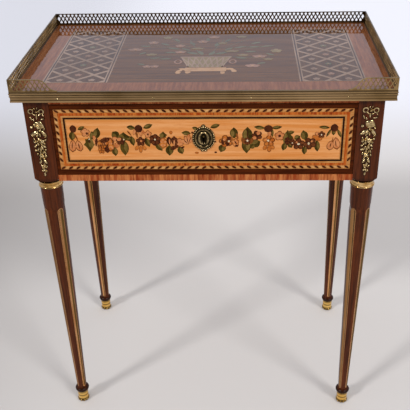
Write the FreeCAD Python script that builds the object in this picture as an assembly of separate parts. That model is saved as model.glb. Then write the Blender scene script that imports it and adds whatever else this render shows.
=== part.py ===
import FreeCAD, Part
import math
import os

from FreeCAD import Vector

# A small writing table: a galleried, veneered top on four turned legs, with one lockable drawer in the
# frieze. Millimetres. X runs to the right, Y to the back and Z up. The origin is on the floor, under the
# middle of the top, and the drawer opens towards -Y.

# Top
TOP_WIDTH = 668.0  # over the brass edge
TOP_DEPTH = 396.0  # over the brass edge
TOP_HEIGHT = 752.0  # floor to the veneered surface
BOARD_THICK = 17.0
VENEER_THICK = 1.0
TOP_BORDER = 42.0  # crossbanded border round the three panels
TRELLIS_WIDTH = 117.0
SIDE_OVERHANG = 19.0  # brass edge past the leg blocks
FRONT_OVERHANG = 10.0

# Brass edge moulding
EDGE_THICK = 5.0
EDGE_LIP = 1.5  # rise above the veneer
EDGE_FOOT_HEIGHT = 3.2
EDGE_BAND_SETBACK = 1.3
EDGE_BEAD_RADIUS = 1.9
EDGE_TORUS_RADIUS = 2.4
EDGE_FILLET_HEIGHT = 1.8
EDGE_FILLET_SETBACK = 0.8

# Pierced gallery
GALLERY_HEIGHT = 22.0
GALLERY_INSET = 1.0
GALLERY_RAIL_THICK = 2.4
GALLERY_WEB_THICK = 1.4
GALLERY_TOP_RAIL = 1.5
GALLERY_BASE_RAIL = 1.7
GALLERY_PITCH = 8.4
GALLERY_BAR = 1.45
GALLERY_ROW_MARGIN = 2.2  # end of the lattice past the middle of its outer rows
LEAST_HOLE = 4.0  # area of the smallest hole worth piercing under the sweep
CUT_OVER = 0.4  # how far a saw cut runs past the edge of the web
GALLERY_POST = 2.4
RETURN_FLAT = 51.0
RETURN_OGEE = 33.0

# Legs
BLOCK_SIDE = 45.0
SHOULDER_DROP = 2.0  # turned shoulder below the frieze
SHOULDER_HEIGHT = 9.0
NECK_RADIUS = 20.5
NECK_SHOW = 2.0
SHAFT_TOP_RADIUS = 21.0
SHAFT_BOTTOM_RADIUS = 10.2
RING_RADIUS = 15.0
RING_HEIGHT = 10.4
SPIGOT_RADIUS = 7.5
SPIGOT_LENGTH = 20.0

# Flutes and their brass liners
FLUTE_COUNT = 4
FLUTE_START = 53.5  # below the collar
FLUTE_STOP = 7.5  # above the ring
FLUTE_TOP_WIDTH = 13.6
FLUTE_TOP_DEPTH = 3.5
FLUTE_BOTTOM_WIDTH = 7.2
FLUTE_BOTTOM_DEPTH = 1.9
LINER_THICK = 0.8
FRONT_FLUTE_TURN = 45.0  # the front legs show their flutes on the diagonals
REAR_FLUTE_TURN = 0.0  # the rear legs turn one flute to the front

# Brass collars and feet
COLLAR_HEIGHT = 14.0
COLLAR_RADIUS = 23.0
COLLAR_BEAD = 2.4
SABOT_HEIGHT = 29.0
SABOT_RADIUS = 12.6
SABOT_WAIST = 11.6
SABOT_BASE_RADIUS = 10.0
SABOT_BEAD_HEIGHT = 7.0
BRASS_FIT = 0.1

# Frieze
APRON_HEIGHT = 159.0
PANEL_THICK = 18.0
PANEL_SETBACK = 1.5
TOP_RAIL_HEIGHT = 7.0
BOTTOM_RAIL_HEIGHT = 12.4
TENON_LENGTH = 12.0
TENON_THICK = 8.0
TENON_SHOULDER = 12.0
RAIL_TENON_HEIGHT = 6.0
RAIL_TENON_WIDTH = 26.0
DOVETAIL_NECK = 20.0
DOVETAIL_END = 26.0
JOINT_GAP = 0.1
JOINT_END_GAP = 0.5

# Drawer and what carries it
DRAWER_GAP = 0.8  # round the drawer front
DRAWER_SIDE_GAP = 1.5  # drawer side to the opening
RUN_GAP = 0.3  # drawer side above its runner
GUIDE_GAP = 1.0
GUIDE_HEIGHT = 18.0
RUNNER_REACH = 25.0  # runner under the drawer
DRAWER_FRONT_THICK = 20.0  # veneer included
DRAWER_BACK_SPACE = 18.5  # left behind the closed drawer for its stops
DRAWER_SIDE_THICK = 10.0
DRAWER_BACK_THICK = 10.0
DRAWER_BACK_DROP = 10.0  # back below the sides
DRAWER_BOTTOM_THICK = 6.0
DRAWER_BOTTOM_RISE = 7.0  # bottom panel above the side's lower edge
GROOVE_DEPTH = 4.0
TAIL_COUNT = 4
TAIL_LENGTH = 12.0
TAIL_NECK = 16.0
TAIL_END = 22.0
STOP_HEIGHT = 14.0
STOP_GAP = 0.3

# Veneers of the drawer front
BANDING_SIDE = 6.0
BANDING_TOP = 9.5
BANDING_BOTTOM = 11.1
BORDER_WIDTH = 18.5

# Lock and escutcheon
KEY_RISE = 6.2  # key above the middle of the drawer front
LOCK_PLATE_WIDTH = 68.0
LOCK_CASE_WIDTH = 48.0
LOCK_BELOW_KEY = 25.0
LOCK_PLATE_THICK = 2.0
LOCK_CASE_DEPTH = 11.0
LOCK_WALL = 1.4
SELVEDGE_THICK = 2.5
KEY_POST_RADIUS = 1.6
KEYHOLE_RADIUS = 3.2
KEYHOLE_SLOT = 3.0
KEYHOLE_DROP = 8.5
BOLT_WIDTH = 14.0
BOLT_THICK = 4.0
BOLT_TRAVEL = 6.5
BOLT_CLEAR = 0.2
YOKE_ABOVE_KEY = 20.0
YOKE_HEIGHT = 10.0
TAIL_PAST_KEYHOLE = 1.0
TAIL_WIDTH = 12.0
TAIL_BELOW_KEY = 14.0
TALON_DEPTH = 4.5
TALON_HEIGHT = 12.0
GUIDE_PIN_RADIUS = 1.4
TUMBLER_THICK = 1.8
TUMBLER_PIN_RADIUS = 1.5
TUMBLER_PIN_OFFSET = 15.0
TUMBLER_PIN_ABOVE_KEY = 33.0
TUMBLER_PIN_GAP = 0.05
TUMBLER_EYE_RADIUS = 4.5
TUMBLER_REACH = 22.5
TUMBLER_ARM = 6.0
BELLY_WIDTH = 7.5
BELLY_ABOVE_KEY = 9.0
SPRING_THICK = 0.6
SPRING_REACH = 16.0
ESCUTCHEON_WIDTH = 41.0
ESCUTCHEON_HEIGHT = 46.0
ESCUTCHEON_THICK = 1.6
ESCUTCHEON_LEDGE = 3.2
ESCUTCHEON_RING = 3.0
ESCUTCHEON_RELIEF = 1.0
FINIAL_RADIUS = 4.5
FINIAL_INSET = 1.0
KEYHOLE_RIM = 4.5
KEYHOLE_EASE = 0.4

# Screws and pins
SCREW_RADIUS = 1.8
SCREW_HEAD_RADIUS = 3.6
SCREW_HEAD_HEIGHT = 2.0
SCREW_LENGTH = 16.0
LOCK_SCREW_LENGTH = 10.0
PIN_RADIUS = 0.8
PIN_HEAD_RADIUS = 1.6
PIN_HEAD_HEIGHT = 0.9
PIN_LENGTH = 9.0
HOLE_GAP = 0.06
FRONT_PINS = 4
SIDE_PINS = 2

# Corner mounts, with places measured down from the top of the mount
MOUNT_TOP_MARGIN = 13.0  # below the board
MOUNT_HEIGHT = 134.0
MOUNT_RELIEF = 3.5
MOUNT_PIN_DROP = 8.0
MOUNT_PIN_RISE = 9.0  # above the tip
MOUNT_PAD_RADIUS = 2.4
MOUNT_PAD_THICK = 1.9
BOW_DROP = 7.0
BOW_SPREAD = 8.4
BOW_RADIUS = 5.6
RIBBON_RADIUS = 1.5
RIBBON_DROP = 25.0
STEM_RADIUS = 1.9
STEM_TIP_RADIUS = 1.3
QUIVER_DROP = 34.0
QUIVER_LENGTH = 15.0
QUIVER_WIDTH = 9.0
QUIVER_RELIEF = 2.9
QUIVER_TURN = 24.0
TORCH_TOP_DROP = 32.0
TORCH_END_DROP = 53.0
TORCH_SPREAD = 10.5
TORCH_RADIUS = 1.2
TORCH_END_RADIUS = 2.4
DROP_START = 58.0
DROP_ROWS = 8
DROP_SPREAD = 4.4
DROP_TIP_SPREAD = 2.0
BLOSSOM_RADIUS = 3.4
BLOSSOM_TIP_RADIUS = 1.7

# Levels and places worked out from the sizes above
UNDER_Z = TOP_HEIGHT - VENEER_THICK - BOARD_THICK
VENEER_Z = TOP_HEIGHT - VENEER_THICK
EDGE_TOP_Z = TOP_HEIGHT + EDGE_LIP
APRON_Z = UNDER_Z - APRON_HEIGHT
SHOULDER_Z = APRON_Z - SHOULDER_DROP
COLLAR_TOP_Z = SHOULDER_Z - NECK_SHOW
COLLAR_Z = COLLAR_TOP_Z - COLLAR_HEIGHT
RING_TOP_Z = SABOT_HEIGHT + RING_HEIGHT
BOARD_X = TOP_WIDTH / 2 - EDGE_THICK
BOARD_Y = TOP_DEPTH / 2 - EDGE_THICK
FACE_X = TOP_WIDTH / 2 - SIDE_OVERHANG
FACE_Y = TOP_DEPTH / 2 - FRONT_OVERHANG
LEG_X = FACE_X - BLOCK_SIDE / 2
LEG_Y = FACE_Y - BLOCK_SIDE / 2
OPEN_X = FACE_X - BLOCK_SIDE  # half width between the blocks
OPEN_Y = FACE_Y - BLOCK_SIDE  # half depth between the blocks
PANEL_X = FACE_X - PANEL_SETBACK
PANEL_IN_X = PANEL_X - PANEL_THICK
PANEL_Y = FACE_Y - PANEL_SETBACK
PANEL_IN_Y = PANEL_Y - PANEL_THICK
CORE_Y = FACE_Y - VENEER_THICK  # front of the rails and of the drawer core
RUN_Z = APRON_Z + BOTTOM_RAIL_HEIGHT
KICK_Z = UNDER_Z - TOP_RAIL_HEIGHT
DRAWER_X = OPEN_X - DRAWER_GAP
DRAWER_Z = RUN_Z + DRAWER_GAP
DRAWER_TOP_Z = KICK_Z - DRAWER_GAP
DRAWER_IN_Y = FACE_Y - DRAWER_FRONT_THICK  # inner face of the drawer front, as a distance towards the front
SIDE_X = OPEN_X - DRAWER_SIDE_GAP
SIDE_IN_X = SIDE_X - DRAWER_SIDE_THICK
SIDE_Z = RUN_Z + RUN_GAP
SIDE_TOP_Z = DRAWER_TOP_Z - RUN_GAP
DRAWER_END_Y = PANEL_IN_Y - DRAWER_BACK_SPACE
BOTTOM_Z = SIDE_Z + DRAWER_BOTTOM_RISE
BOTTOM_TOP_Z = BOTTOM_Z + DRAWER_BOTTOM_THICK
KEY_Z = (DRAWER_Z + DRAWER_TOP_Z) / 2 + KEY_RISE
PLATE_Z = KEY_Z + (KEYHOLE_RADIUS - KEYHOLE_DROP) / 2  # middle of the keyhole and of its escutcheon
LOCK_Y = DRAWER_IN_Y + LOCK_CASE_DEPTH  # front of the lock case
BOLT_Y = DRAWER_IN_Y + LOCK_PLATE_THICK + TUMBLER_THICK + 3 * BOLT_CLEAR
PIN_HOLE_RADIUS = PIN_RADIUS + HOLE_GAP
SCREW_HOLE_RADIUS = SCREW_RADIUS + HOLE_GAP
CORNERS = {
    "front_left": (-1, -1),
    "front_right": (1, -1),
    "rear_left": (-1, 1),
    "rear_right": (1, 1),
}
SIDES = {"left": -1, "right": 1}


def box(x0, x1, y0, y1, z0, z1):
    low = Vector(min(x0, x1), min(y0, y1), min(z0, z1))
    return Part.makeBox(abs(x1 - x0), abs(y1 - y0), abs(z1 - z0), low)


def polygon(points):
    return Part.Wire(Part.makePolygon(points + points[:1]))


def prism(points, along):
    return Part.Face(polygon(points)).extrude(along)


def fuse(shapes):
    first, rest = shapes[0], shapes[1:]
    return first.multiFuse(rest).removeSplitter() if rest else first


def cut(shape, tools):
    return shape.cut(tools) if tools else shape


def line(a, b):
    return Part.LineSegment(a, b).toShape()


def arc(a, middle, b):
    return Part.Arc(a, middle, b).toShape()


def revolve(edges, centre=Vector(0, 0, 0), axis=Vector(0, 0, 1)):
    return Part.Face(Part.Wire(edges)).revolve(centre, axis, 360)


def chain(points):
    """Edges through (r, z) points in the XZ plane. A point of four numbers is reached by an arc: r, z, then
    the arc's middle r and z."""
    edges = []
    at = Vector(points[0][0], 0, points[0][1])
    start = at
    for point in points[1:]:
        to = Vector(point[0], 0, point[1])
        if len(point) == 4:
            edges.append(arc(at, Vector(point[2], 0, point[3]), to))
        else:
            edges.append(line(at, to))
        at = to
    edges.append(line(at, start))
    return edges


def across(shape, sx):
    """A copy of the shape, or its mirror image on the left."""
    return shape.copy() if sx > 0 else shape.mirror(Vector(0, 0, 0), Vector(1, 0, 0))


# Pins and screws

def pin(at, out):
    """A domed brass pin whose head seats at a point, with the shank driven in against out."""
    dome = (PIN_HEAD_RADIUS ** 2 + PIN_HEAD_HEIGHT ** 2) / (2 * PIN_HEAD_HEIGHT)
    half_turn = math.asin(PIN_HEAD_RADIUS / dome) / 2
    crown = PIN_HEAD_HEIGHT - dome
    edges = chain([
        (0, -PIN_LENGTH), (PIN_RADIUS, -PIN_LENGTH), (PIN_RADIUS, 0), (PIN_HEAD_RADIUS, 0),
        (0, PIN_HEAD_HEIGHT, dome * math.sin(half_turn), crown + dome * math.cos(half_turn)),
    ])
    return turned_to(revolve(edges), at, out)


def pin_hole(at, out):
    length = PIN_LENGTH + JOINT_END_GAP
    return Part.makeCylinder(PIN_HOLE_RADIUS, length, at - out * length, out)


def turned_to(shape, at, out):
    placed = shape.copy()
    placed.Placement = FreeCAD.Placement(at, FreeCAD.Rotation(Vector(0, 0, 1), out))
    return placed


def screw(at, out, length=SCREW_LENGTH):
    """A countersunk wood screw whose head is flush at a point, with the shank driven in against out."""
    edges = chain([
        (0, 0), (SCREW_HEAD_RADIUS, 0), (SCREW_RADIUS, -SCREW_HEAD_HEIGHT),
        (SCREW_RADIUS, -length + SCREW_RADIUS), (0, -length),
    ])
    return turned_to(revolve(edges), at, out)


def screw_hole(at, out, length=SCREW_LENGTH):
    edges = chain([
        (0, 0), (SCREW_HEAD_RADIUS + HOLE_GAP, 0), (SCREW_HOLE_RADIUS, -SCREW_HEAD_HEIGHT - HOLE_GAP),
        (SCREW_HOLE_RADIUS, -length - JOINT_END_GAP), (0, -length - JOINT_END_GAP),
    ])
    return turned_to(revolve(edges), at, out)


def edge_pin_places():
    """Where the edge moulding is pinned to the board, each with the direction of its head."""
    z = UNDER_Z + EDGE_FOOT_HEIGHT + edge_band_height() / 2
    face = EDGE_THICK - EDGE_BAND_SETBACK
    places = []
    for sy in (-1, 1):
        for i in range(FRONT_PINS):
            x = TOP_WIDTH * ((i + 0.5) / FRONT_PINS - 0.5)
            places.append((Vector(x, sy * (BOARD_Y + face), z), Vector(0, sy, 0)))
    for sx in (-1, 1):
        for i in range(SIDE_PINS):
            y = TOP_DEPTH * ((i + 0.5) / SIDE_PINS - 0.5)
            places.append((Vector(sx * (BOARD_X + face), y, z), Vector(sx, 0, 0)))
    return places


def mount_pin_places(sx):
    top = UNDER_Z - MOUNT_TOP_MARGIN
    heights = (top - MOUNT_PIN_DROP, top - MOUNT_HEIGHT + MOUNT_PIN_RISE)
    return [(Vector(sx * LEG_X, -FACE_Y - MOUNT_PAD_THICK, z), Vector(0, -1, 0)) for z in heights]


def kicker_screw_places(sx):
    x = sx * (OPEN_X + PANEL_IN_X) / 2
    return [(Vector(x, y, KICK_Z), Vector(0, 0, -1)) for y in (-OPEN_Y * 0.7, 0, OPEN_Y * 0.7)]


def guide_x():
    return SIDE_X + GUIDE_GAP


def runner_screw_places(sx):
    z = RUN_Z + GUIDE_HEIGHT / 2
    return [(Vector(sx * guide_x(), y, z), Vector(-sx, 0, 0)) for y in (-OPEN_Y * 0.6, OPEN_Y * 0.6)]


def runner_screw_length():
    return PANEL_IN_X - guide_x() + PANEL_THICK * 0.45


# Top

def top_board():
    body = box(-BOARD_X, BOARD_X, -BOARD_Y, BOARD_Y, UNDER_Z, VENEER_Z)
    tools = [pin_hole(at, out) for at, out in edge_pin_places()]
    for sx in SIDES.values():
        tools += [screw_hole(at, out) for at, out in kicker_screw_places(sx)]
    return cut(body, tools)


def top_veneer(x0, x1, y0, y1):
    return box(x0, x1, y0, y1, VENEER_Z, TOP_HEIGHT)


def top_veneers():
    x, y = BOARD_X - TOP_BORDER, BOARD_Y - TOP_BORDER
    inner = x - TRELLIS_WIDTH
    ring = top_veneer(-BOARD_X, BOARD_X, -BOARD_Y, BOARD_Y).cut(top_veneer(-x, x, -y, y))
    return {
        "top_border_veneer": ring,
        "top_trellis_left": top_veneer(-x, -inner, -y, y),
        "top_trellis_right": top_veneer(inner, x, -y, y),
        "top_centre_veneer": top_veneer(-inner, inner, -y, y),
    }


def edge_band_height():
    """The flat band takes the height that the foot, bead, torus and fillet leave."""
    height = EDGE_TOP_Z - UNDER_Z
    rounds = 2 * EDGE_BEAD_RADIUS + 2 * EDGE_TORUS_RADIUS
    return height - EDGE_FOOT_HEIGHT - rounds - EDGE_FILLET_HEIGHT


def edge_profile():
    """Section of the moulding, as (distance out, height): foot, band, bead, torus and fillet."""
    foot = EDGE_THICK - EDGE_BAND_SETBACK / 2
    band = EDGE_THICK - EDGE_BAND_SETBACK
    torus_out = EDGE_THICK - EDGE_TORUS_RADIUS
    bead_z = UNDER_Z + EDGE_FOOT_HEIGHT + edge_band_height()
    torus_z = bead_z + 2 * EDGE_BEAD_RADIUS
    fillet_z = torus_z + 2 * EDGE_TORUS_RADIUS
    fillet = EDGE_THICK - EDGE_FILLET_SETBACK
    neck = band - EDGE_BEAD_RADIUS * 0.4
    return [
        (0, UNDER_Z), (foot, UNDER_Z), (foot, UNDER_Z + EDGE_FOOT_HEIGHT), (band, UNDER_Z + EDGE_FOOT_HEIGHT),
        (band, bead_z), (neck, bead_z),
        (neck, torus_z, neck + EDGE_BEAD_RADIUS, bead_z + EDGE_BEAD_RADIUS),
        (torus_out, torus_z),
        (torus_out, fillet_z, EDGE_THICK, torus_z + EDGE_TORUS_RADIUS),
        (fillet, fillet_z), (fillet, EDGE_TOP_Z), (0, EDGE_TOP_Z),
    ]


def edge_side(length, off):
    """One mitred length of moulding along X, facing -Y, with its back at the distance off from the middle."""
    section = Part.Face(Part.Wire(chain(edge_profile())))
    section.rotate(Vector(0, 0, 0), Vector(0, 0, 1), -90)
    section.translate(Vector(-length / 2, -off, 0))
    bar = section.extrude(Vector(length, 0, 0))
    outer, inner = off + EDGE_THICK, off
    corners = [
        Vector(-length / 2, -outer, UNDER_Z), Vector(length / 2, -outer, UNDER_Z),
        Vector(length / 2 - EDGE_THICK, -inner, UNDER_Z), Vector(-length / 2 + EDGE_THICK, -inner, UNDER_Z),
    ]
    return bar.common(prism(corners, Vector(0, 0, EDGE_TOP_Z - UNDER_Z)))


def round_the_top(shape, turns):
    placed = shape.copy()
    placed.rotate(Vector(0, 0, 0), Vector(0, 0, 1), 90 * turns)
    return placed


def edges():
    holes = [pin_hole(at, out) for at, out in edge_pin_places()]
    long_edge = edge_side(TOP_WIDTH, BOARD_Y)
    short_edge = edge_side(TOP_DEPTH, BOARD_X)
    pieces = {
        "edge_front": long_edge,
        "edge_right": round_the_top(short_edge, 1),
        "edge_back": round_the_top(long_edge, 2),
        "edge_left": round_the_top(short_edge, 3),
    }
    return {name: cut(shape, holes) for name, shape in pieces.items()}


# Gallery

def lattice_holes(x0, x1):
    """Lozenges in the middle row and half lozenges in the rows above and below it, in the XZ plane with the
    base of the gallery at 0."""
    count = max(1, round((x1 - x0) / GALLERY_PITCH))
    pitch = (x1 - x0) / count
    low, high = GALLERY_BASE_RAIL, GALLERY_HEIGHT - GALLERY_TOP_RAIL
    middle, half = (low + high) / 2, (high - low) / 2
    rise = half - GALLERY_ROW_MARGIN
    reach = pitch / 2
    clear = 1 - GALLERY_BAR / 2 * math.hypot(rise, reach) / (rise * reach)
    hole_x, hole_z = reach * clear, rise * clear
    clip_x = hole_x * (1 - (GALLERY_ROW_MARGIN + CUT_OVER) / hole_z)
    holes = []
    for i in range(count):
        x = x0 + (i + 0.5) * pitch
        holes.append([(x - hole_x, middle), (x, middle - hole_z), (x + hole_x, middle), (x, middle + hole_z)])
    for i in range(1, count):
        x = x0 + i * pitch
        for way in (1, -1):
            row = middle + way * rise
            end = middle + way * (half + CUT_OVER)
            holes.append([
                (x, row - way * hole_z), (x + hole_x, row), (x + clip_x, end),
                (x - clip_x, end), (x - hole_x, row),
            ])
    return holes


def sheet_of(outline):
    """The gallery's flat web of the given outline wire in the XZ plane, centred on Y 0."""
    face = Part.Face(outline)
    face.translate(Vector(0, -GALLERY_WEB_THICK / 2, 0))
    return face.extrude(Vector(0, GALLERY_WEB_THICK, 0))


def hole_cutters(x0, x1):
    return [sheet_of(polygon([Vector(x, 0, z) for x, z in hole])) for hole in lattice_holes(x0, x1)]


def rectangle(x0, x1, z0, z1):
    return polygon([Vector(x0, 0, z0), Vector(x1, 0, z0), Vector(x1, 0, z1), Vector(x0, 0, z1)])


def gallery_strip(length):
    """A straight length of gallery along X: base rail, pierced web and top rail in one casting."""
    x = length / 2
    half = GALLERY_RAIL_THICK / 2
    top = GALLERY_HEIGHT - GALLERY_TOP_RAIL
    sheet = sheet_of(rectangle(-x, x, GALLERY_BASE_RAIL, top))
    web = cut(sheet, hole_cutters(-x + GALLERY_POST, x - GALLERY_POST))
    base = box(-x, x, -half, half, 0, GALLERY_BASE_RAIL)
    rail = box(-x, x, -half, half, top, GALLERY_HEIGHT)
    posts = [box(s * x, s * (x - GALLERY_POST), -half, half, GALLERY_BASE_RAIL, top) for s in (-1, 1)]
    return fuse([base, web, rail] + posts)


def ogee_radius():
    fall = GALLERY_HEIGHT - GALLERY_BASE_RAIL
    return (RETURN_OGEE ** 2 + fall ** 2) / (4 * fall)


def ogee(drop):
    """The two arcs of the return's sweep, lowered square to themselves by drop."""
    high, low = GALLERY_HEIGHT, GALLERY_BASE_RAIL
    radius = ogee_radius()
    turn = math.asin(RETURN_OGEE / 2 / radius)
    upper = Vector(RETURN_FLAT, 0, high - radius)
    lower = Vector(RETURN_FLAT + RETURN_OGEE, 0, low + radius)
    first, second = radius - drop, radius + drop

    def on_upper(angle):
        return upper + Vector(first * math.sin(angle), 0, first * math.cos(angle))

    def on_lower(angle):
        return lower - Vector(second * math.sin(angle), 0, second * math.cos(angle))

    return [
        (on_upper(0), on_upper(turn / 2), on_upper(turn)),
        (on_lower(turn), on_lower(turn / 2), on_lower(0)),
    ]


def gallery_return():
    """A front return: a short pierced length from the corner at X 0 that sweeps down to its base rail. Its
    holes are those of the lattice, cut short where the rim sweeps across them."""
    half = GALLERY_RAIL_THICK / 2
    end = RETURN_FLAT + RETURN_OGEE
    outer, inner = ogee(0), ogee(GALLERY_TOP_RAIL)
    corner = Vector(0, 0, GALLERY_HEIGHT)
    foot = Vector(0, 0, GALLERY_BASE_RAIL)
    outline = Part.Wire([line(foot, corner), line(corner, outer[0][0])] + [arc(*a) for a in outer]
                        + [line(outer[1][2], foot)])
    sheet = sheet_of(outline)
    under = Vector(0, 0, GALLERY_HEIGHT - GALLERY_TOP_RAIL)
    rim_edges = [line(under, corner), line(corner, outer[0][0])] + [arc(*a) for a in outer]
    rim_edges += [line(outer[1][2], inner[1][2]), arc(*reversed(inner[1])), arc(*reversed(inner[0]))]
    rim_edges.append(line(inner[0][0], under))
    rim = Part.Face(Part.Wire(rim_edges)).extrude(Vector(0, GALLERY_RAIL_THICK, 0))
    rim.translate(Vector(0, -half, 0))
    room = sheet.cut(rim)
    clipped = [cutter.common(room) for cutter in hole_cutters(GALLERY_POST, end)]
    web = cut(sheet, [hole for hole in clipped if hole.Volume > LEAST_HOLE * GALLERY_WEB_THICK])
    base = box(0, end, -half, half, 0, GALLERY_BASE_RAIL)
    post = box(0, GALLERY_POST, -half, half, GALLERY_BASE_RAIL, GALLERY_HEIGHT - GALLERY_TOP_RAIL)
    return fuse([base, web, rim, post])


def gallery():
    x = TOP_WIDTH / 2 - GALLERY_INSET
    y = TOP_DEPTH / 2 - GALLERY_INSET
    half = GALLERY_RAIL_THICK / 2
    up = Vector(0, 0, EDGE_TOP_Z)
    back = gallery_strip(2 * x)
    back.translate(Vector(0, y - half, 0) + up)
    pieces = {"gallery_back": back}
    side = round_the_top(gallery_strip(2 * (y - GALLERY_RAIL_THICK)), 1)
    sweep = gallery_return()
    for name, sx in SIDES.items():
        flank = side.copy()
        flank.translate(Vector(sx * (x - half), 0, 0) + up)
        pieces["gallery_" + name] = flank
        front = across(sweep, -sx)
        front.translate(Vector(sx * x, -y + half, 0) + up)
        pieces["gallery_return_" + name] = front
    return pieces


# Legs

def leg_blank():
    """The leg before its flutes and mortises: a square block over a turned neck, shaft, ring and spigot."""
    corner = BLOCK_SIDE / 2 * math.sqrt(2) + JOINT_GAP
    bend = math.sqrt(0.5)
    middle_r = NECK_RADIUS + bend * (corner - NECK_RADIUS)
    middle_z = SHOULDER_Z + (1 - bend) * SHOULDER_HEIGHT
    turned_block = revolve(chain([
        (0, SHOULDER_Z), (NECK_RADIUS, SHOULDER_Z),
        (corner, SHOULDER_Z + SHOULDER_HEIGHT, middle_r, middle_z),
        (corner, UNDER_Z), (0, UNDER_Z),
    ]))
    half = BLOCK_SIDE / 2
    block = turned_block.common(box(-half, half, -half, half, SHOULDER_Z, UNDER_Z))
    ring_middle = SABOT_HEIGHT + RING_HEIGHT / 2
    spigot_end = SABOT_HEIGHT - SPIGOT_LENGTH
    shaft = revolve(chain([
        (0, spigot_end), (SPIGOT_RADIUS, spigot_end), (SPIGOT_RADIUS, SABOT_HEIGHT),
        (SHAFT_BOTTOM_RADIUS, SABOT_HEIGHT),
        (SHAFT_BOTTOM_RADIUS, RING_TOP_Z, RING_RADIUS, ring_middle),
        (SHAFT_TOP_RADIUS, COLLAR_Z), (NECK_RADIUS, COLLAR_Z), (NECK_RADIUS, SHOULDER_Z), (0, SHOULDER_Z),
    ]))
    return fuse([shaft, block])


def shaft_radius(z):
    share = (z - RING_TOP_Z) / (COLLAR_Z - RING_TOP_Z)
    return SHAFT_BOTTOM_RADIUS + share * (SHAFT_TOP_RADIUS - SHAFT_BOTTOM_RADIUS)


def flute(turn, inset):
    """A round-ended tapering cutter along the shaft, smaller all round by inset."""

    def end(z, width, depth):
        radius = (width ** 2 / 4 + depth ** 2) / (2 * depth)
        away = shaft_radius(z) + radius - depth
        angle = math.radians(turn)
        return Vector(away * math.cos(angle), away * math.sin(angle), z), radius - inset

    top, top_radius = end(COLLAR_Z - FLUTE_START, FLUTE_TOP_WIDTH, FLUTE_TOP_DEPTH)
    low, low_radius = end(RING_TOP_Z + FLUTE_STOP, FLUTE_BOTTOM_WIDTH, FLUTE_BOTTOM_DEPTH)
    length = (top - low).Length
    bend = math.sqrt(0.5)
    cutter = revolve(chain([
        (0, -low_radius),
        (low_radius, 0, low_radius * bend, -low_radius * bend),
        (top_radius, length),
        (0, length + top_radius, top_radius * bend, length + top_radius * bend),
    ]))
    return turned_to(cutter, low, (top - low).normalize())


def flute_turns(sy):
    first = FRONT_FLUTE_TURN if sy < 0 else REAR_FLUTE_TURN
    return [first + i * 360 / FLUTE_COUNT for i in range(FLUTE_COUNT)]


def side_tenon(sx, sy, gap=0.0, end_gap=0.0):
    middle = (PANEL_X + PANEL_IN_X) / 2
    return box(
        sx * (middle - TENON_THICK / 2 - gap), sx * (middle + TENON_THICK / 2 + gap),
        sy * OPEN_Y, sy * (OPEN_Y + TENON_LENGTH + end_gap),
        APRON_Z + TENON_SHOULDER - gap, UNDER_Z - TENON_SHOULDER + gap,
    )


def back_tenon(sx, gap=0.0, end_gap=0.0):
    middle = (PANEL_Y + PANEL_IN_Y) / 2
    return box(
        sx * OPEN_X, sx * (OPEN_X + TENON_LENGTH + end_gap),
        middle - TENON_THICK / 2 - gap, middle + TENON_THICK / 2 + gap,
        APRON_Z + TENON_SHOULDER - gap, UNDER_Z - TENON_SHOULDER + gap,
    )


def rail_tenon(sx, gap=0.0, end_gap=0.0):
    z = APRON_Z + BOTTOM_RAIL_HEIGHT / 2
    return box(
        sx * OPEN_X, sx * (OPEN_X + TENON_LENGTH + end_gap),
        -LEG_Y - RAIL_TENON_WIDTH / 2 - gap, -LEG_Y + RAIL_TENON_WIDTH / 2 + gap,
        z - RAIL_TENON_HEIGHT / 2 - gap, z + RAIL_TENON_HEIGHT / 2 + gap,
    )


def rail_dovetail(sx, gap=0.0, end_gap=0.0):
    length = TENON_LENGTH + end_gap
    neck = DOVETAIL_NECK / 2 + gap
    end = neck + (DOVETAIL_END - DOVETAIL_NECK) / 2 * length / TENON_LENGTH
    near, far = sx * OPEN_X, sx * (OPEN_X + length)
    z = KICK_Z - gap
    points = [
        Vector(near, -LEG_Y - neck, z), Vector(far, -LEG_Y - end, z),
        Vector(far, -LEG_Y + end, z), Vector(near, -LEG_Y + neck, z),
    ]
    return prism(points, Vector(0, 0, TOP_RAIL_HEIGHT + gap))


def legs():
    """The four legs and their flute liners."""
    blank = leg_blank()
    pieces = {}
    for name, (sx, sy) in CORNERS.items():
        turns = flute_turns(sy)
        flutes = [flute(turn, 0) for turn in turns]
        place = Vector(sx * LEG_X, sy * LEG_Y, 0)
        liners = [blank.common(f).cut(flute(turn, LINER_THICK)) for f, turn in zip(flutes, turns)]
        liner_group = Part.makeCompound([liner.Solids[0] for liner in liners])
        liner_group.translate(place)
        leg = blank.cut(flutes)
        leg.translate(place)
        mortises = [side_tenon(sx, sy, JOINT_GAP, JOINT_END_GAP)]
        if sy < 0:
            mortises.append(rail_tenon(sx, JOINT_GAP, JOINT_END_GAP))
            mortises.append(rail_dovetail(sx, JOINT_GAP, JOINT_END_GAP))
            mortises += [pin_hole(at, out) for at, out in mount_pin_places(sx)]
        else:
            mortises.append(back_tenon(sx, JOINT_GAP, JOINT_END_GAP))
        pieces["leg_" + name] = cut(leg, mortises)
        pieces["flute_liners_" + name] = liner_group
    return pieces


def collar():
    """A brass ring round the neck: a bead above, a hollow and a bead below."""
    bore = NECK_RADIUS + BRASS_FIT
    rim = COLLAR_RADIUS - COLLAR_BEAD / 2
    low, high = COLLAR_Z, COLLAR_TOP_Z
    hollow = rim - (rim - bore) * 0.45
    return revolve(chain([
        (bore, low), (rim, low),
        (rim, low + COLLAR_BEAD, COLLAR_RADIUS, low + COLLAR_BEAD / 2),
        (rim, high - COLLAR_BEAD, hollow, (low + high) / 2),
        (rim, high, COLLAR_RADIUS, high - COLLAR_BEAD / 2),
        (bore, high),
    ]))


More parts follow.
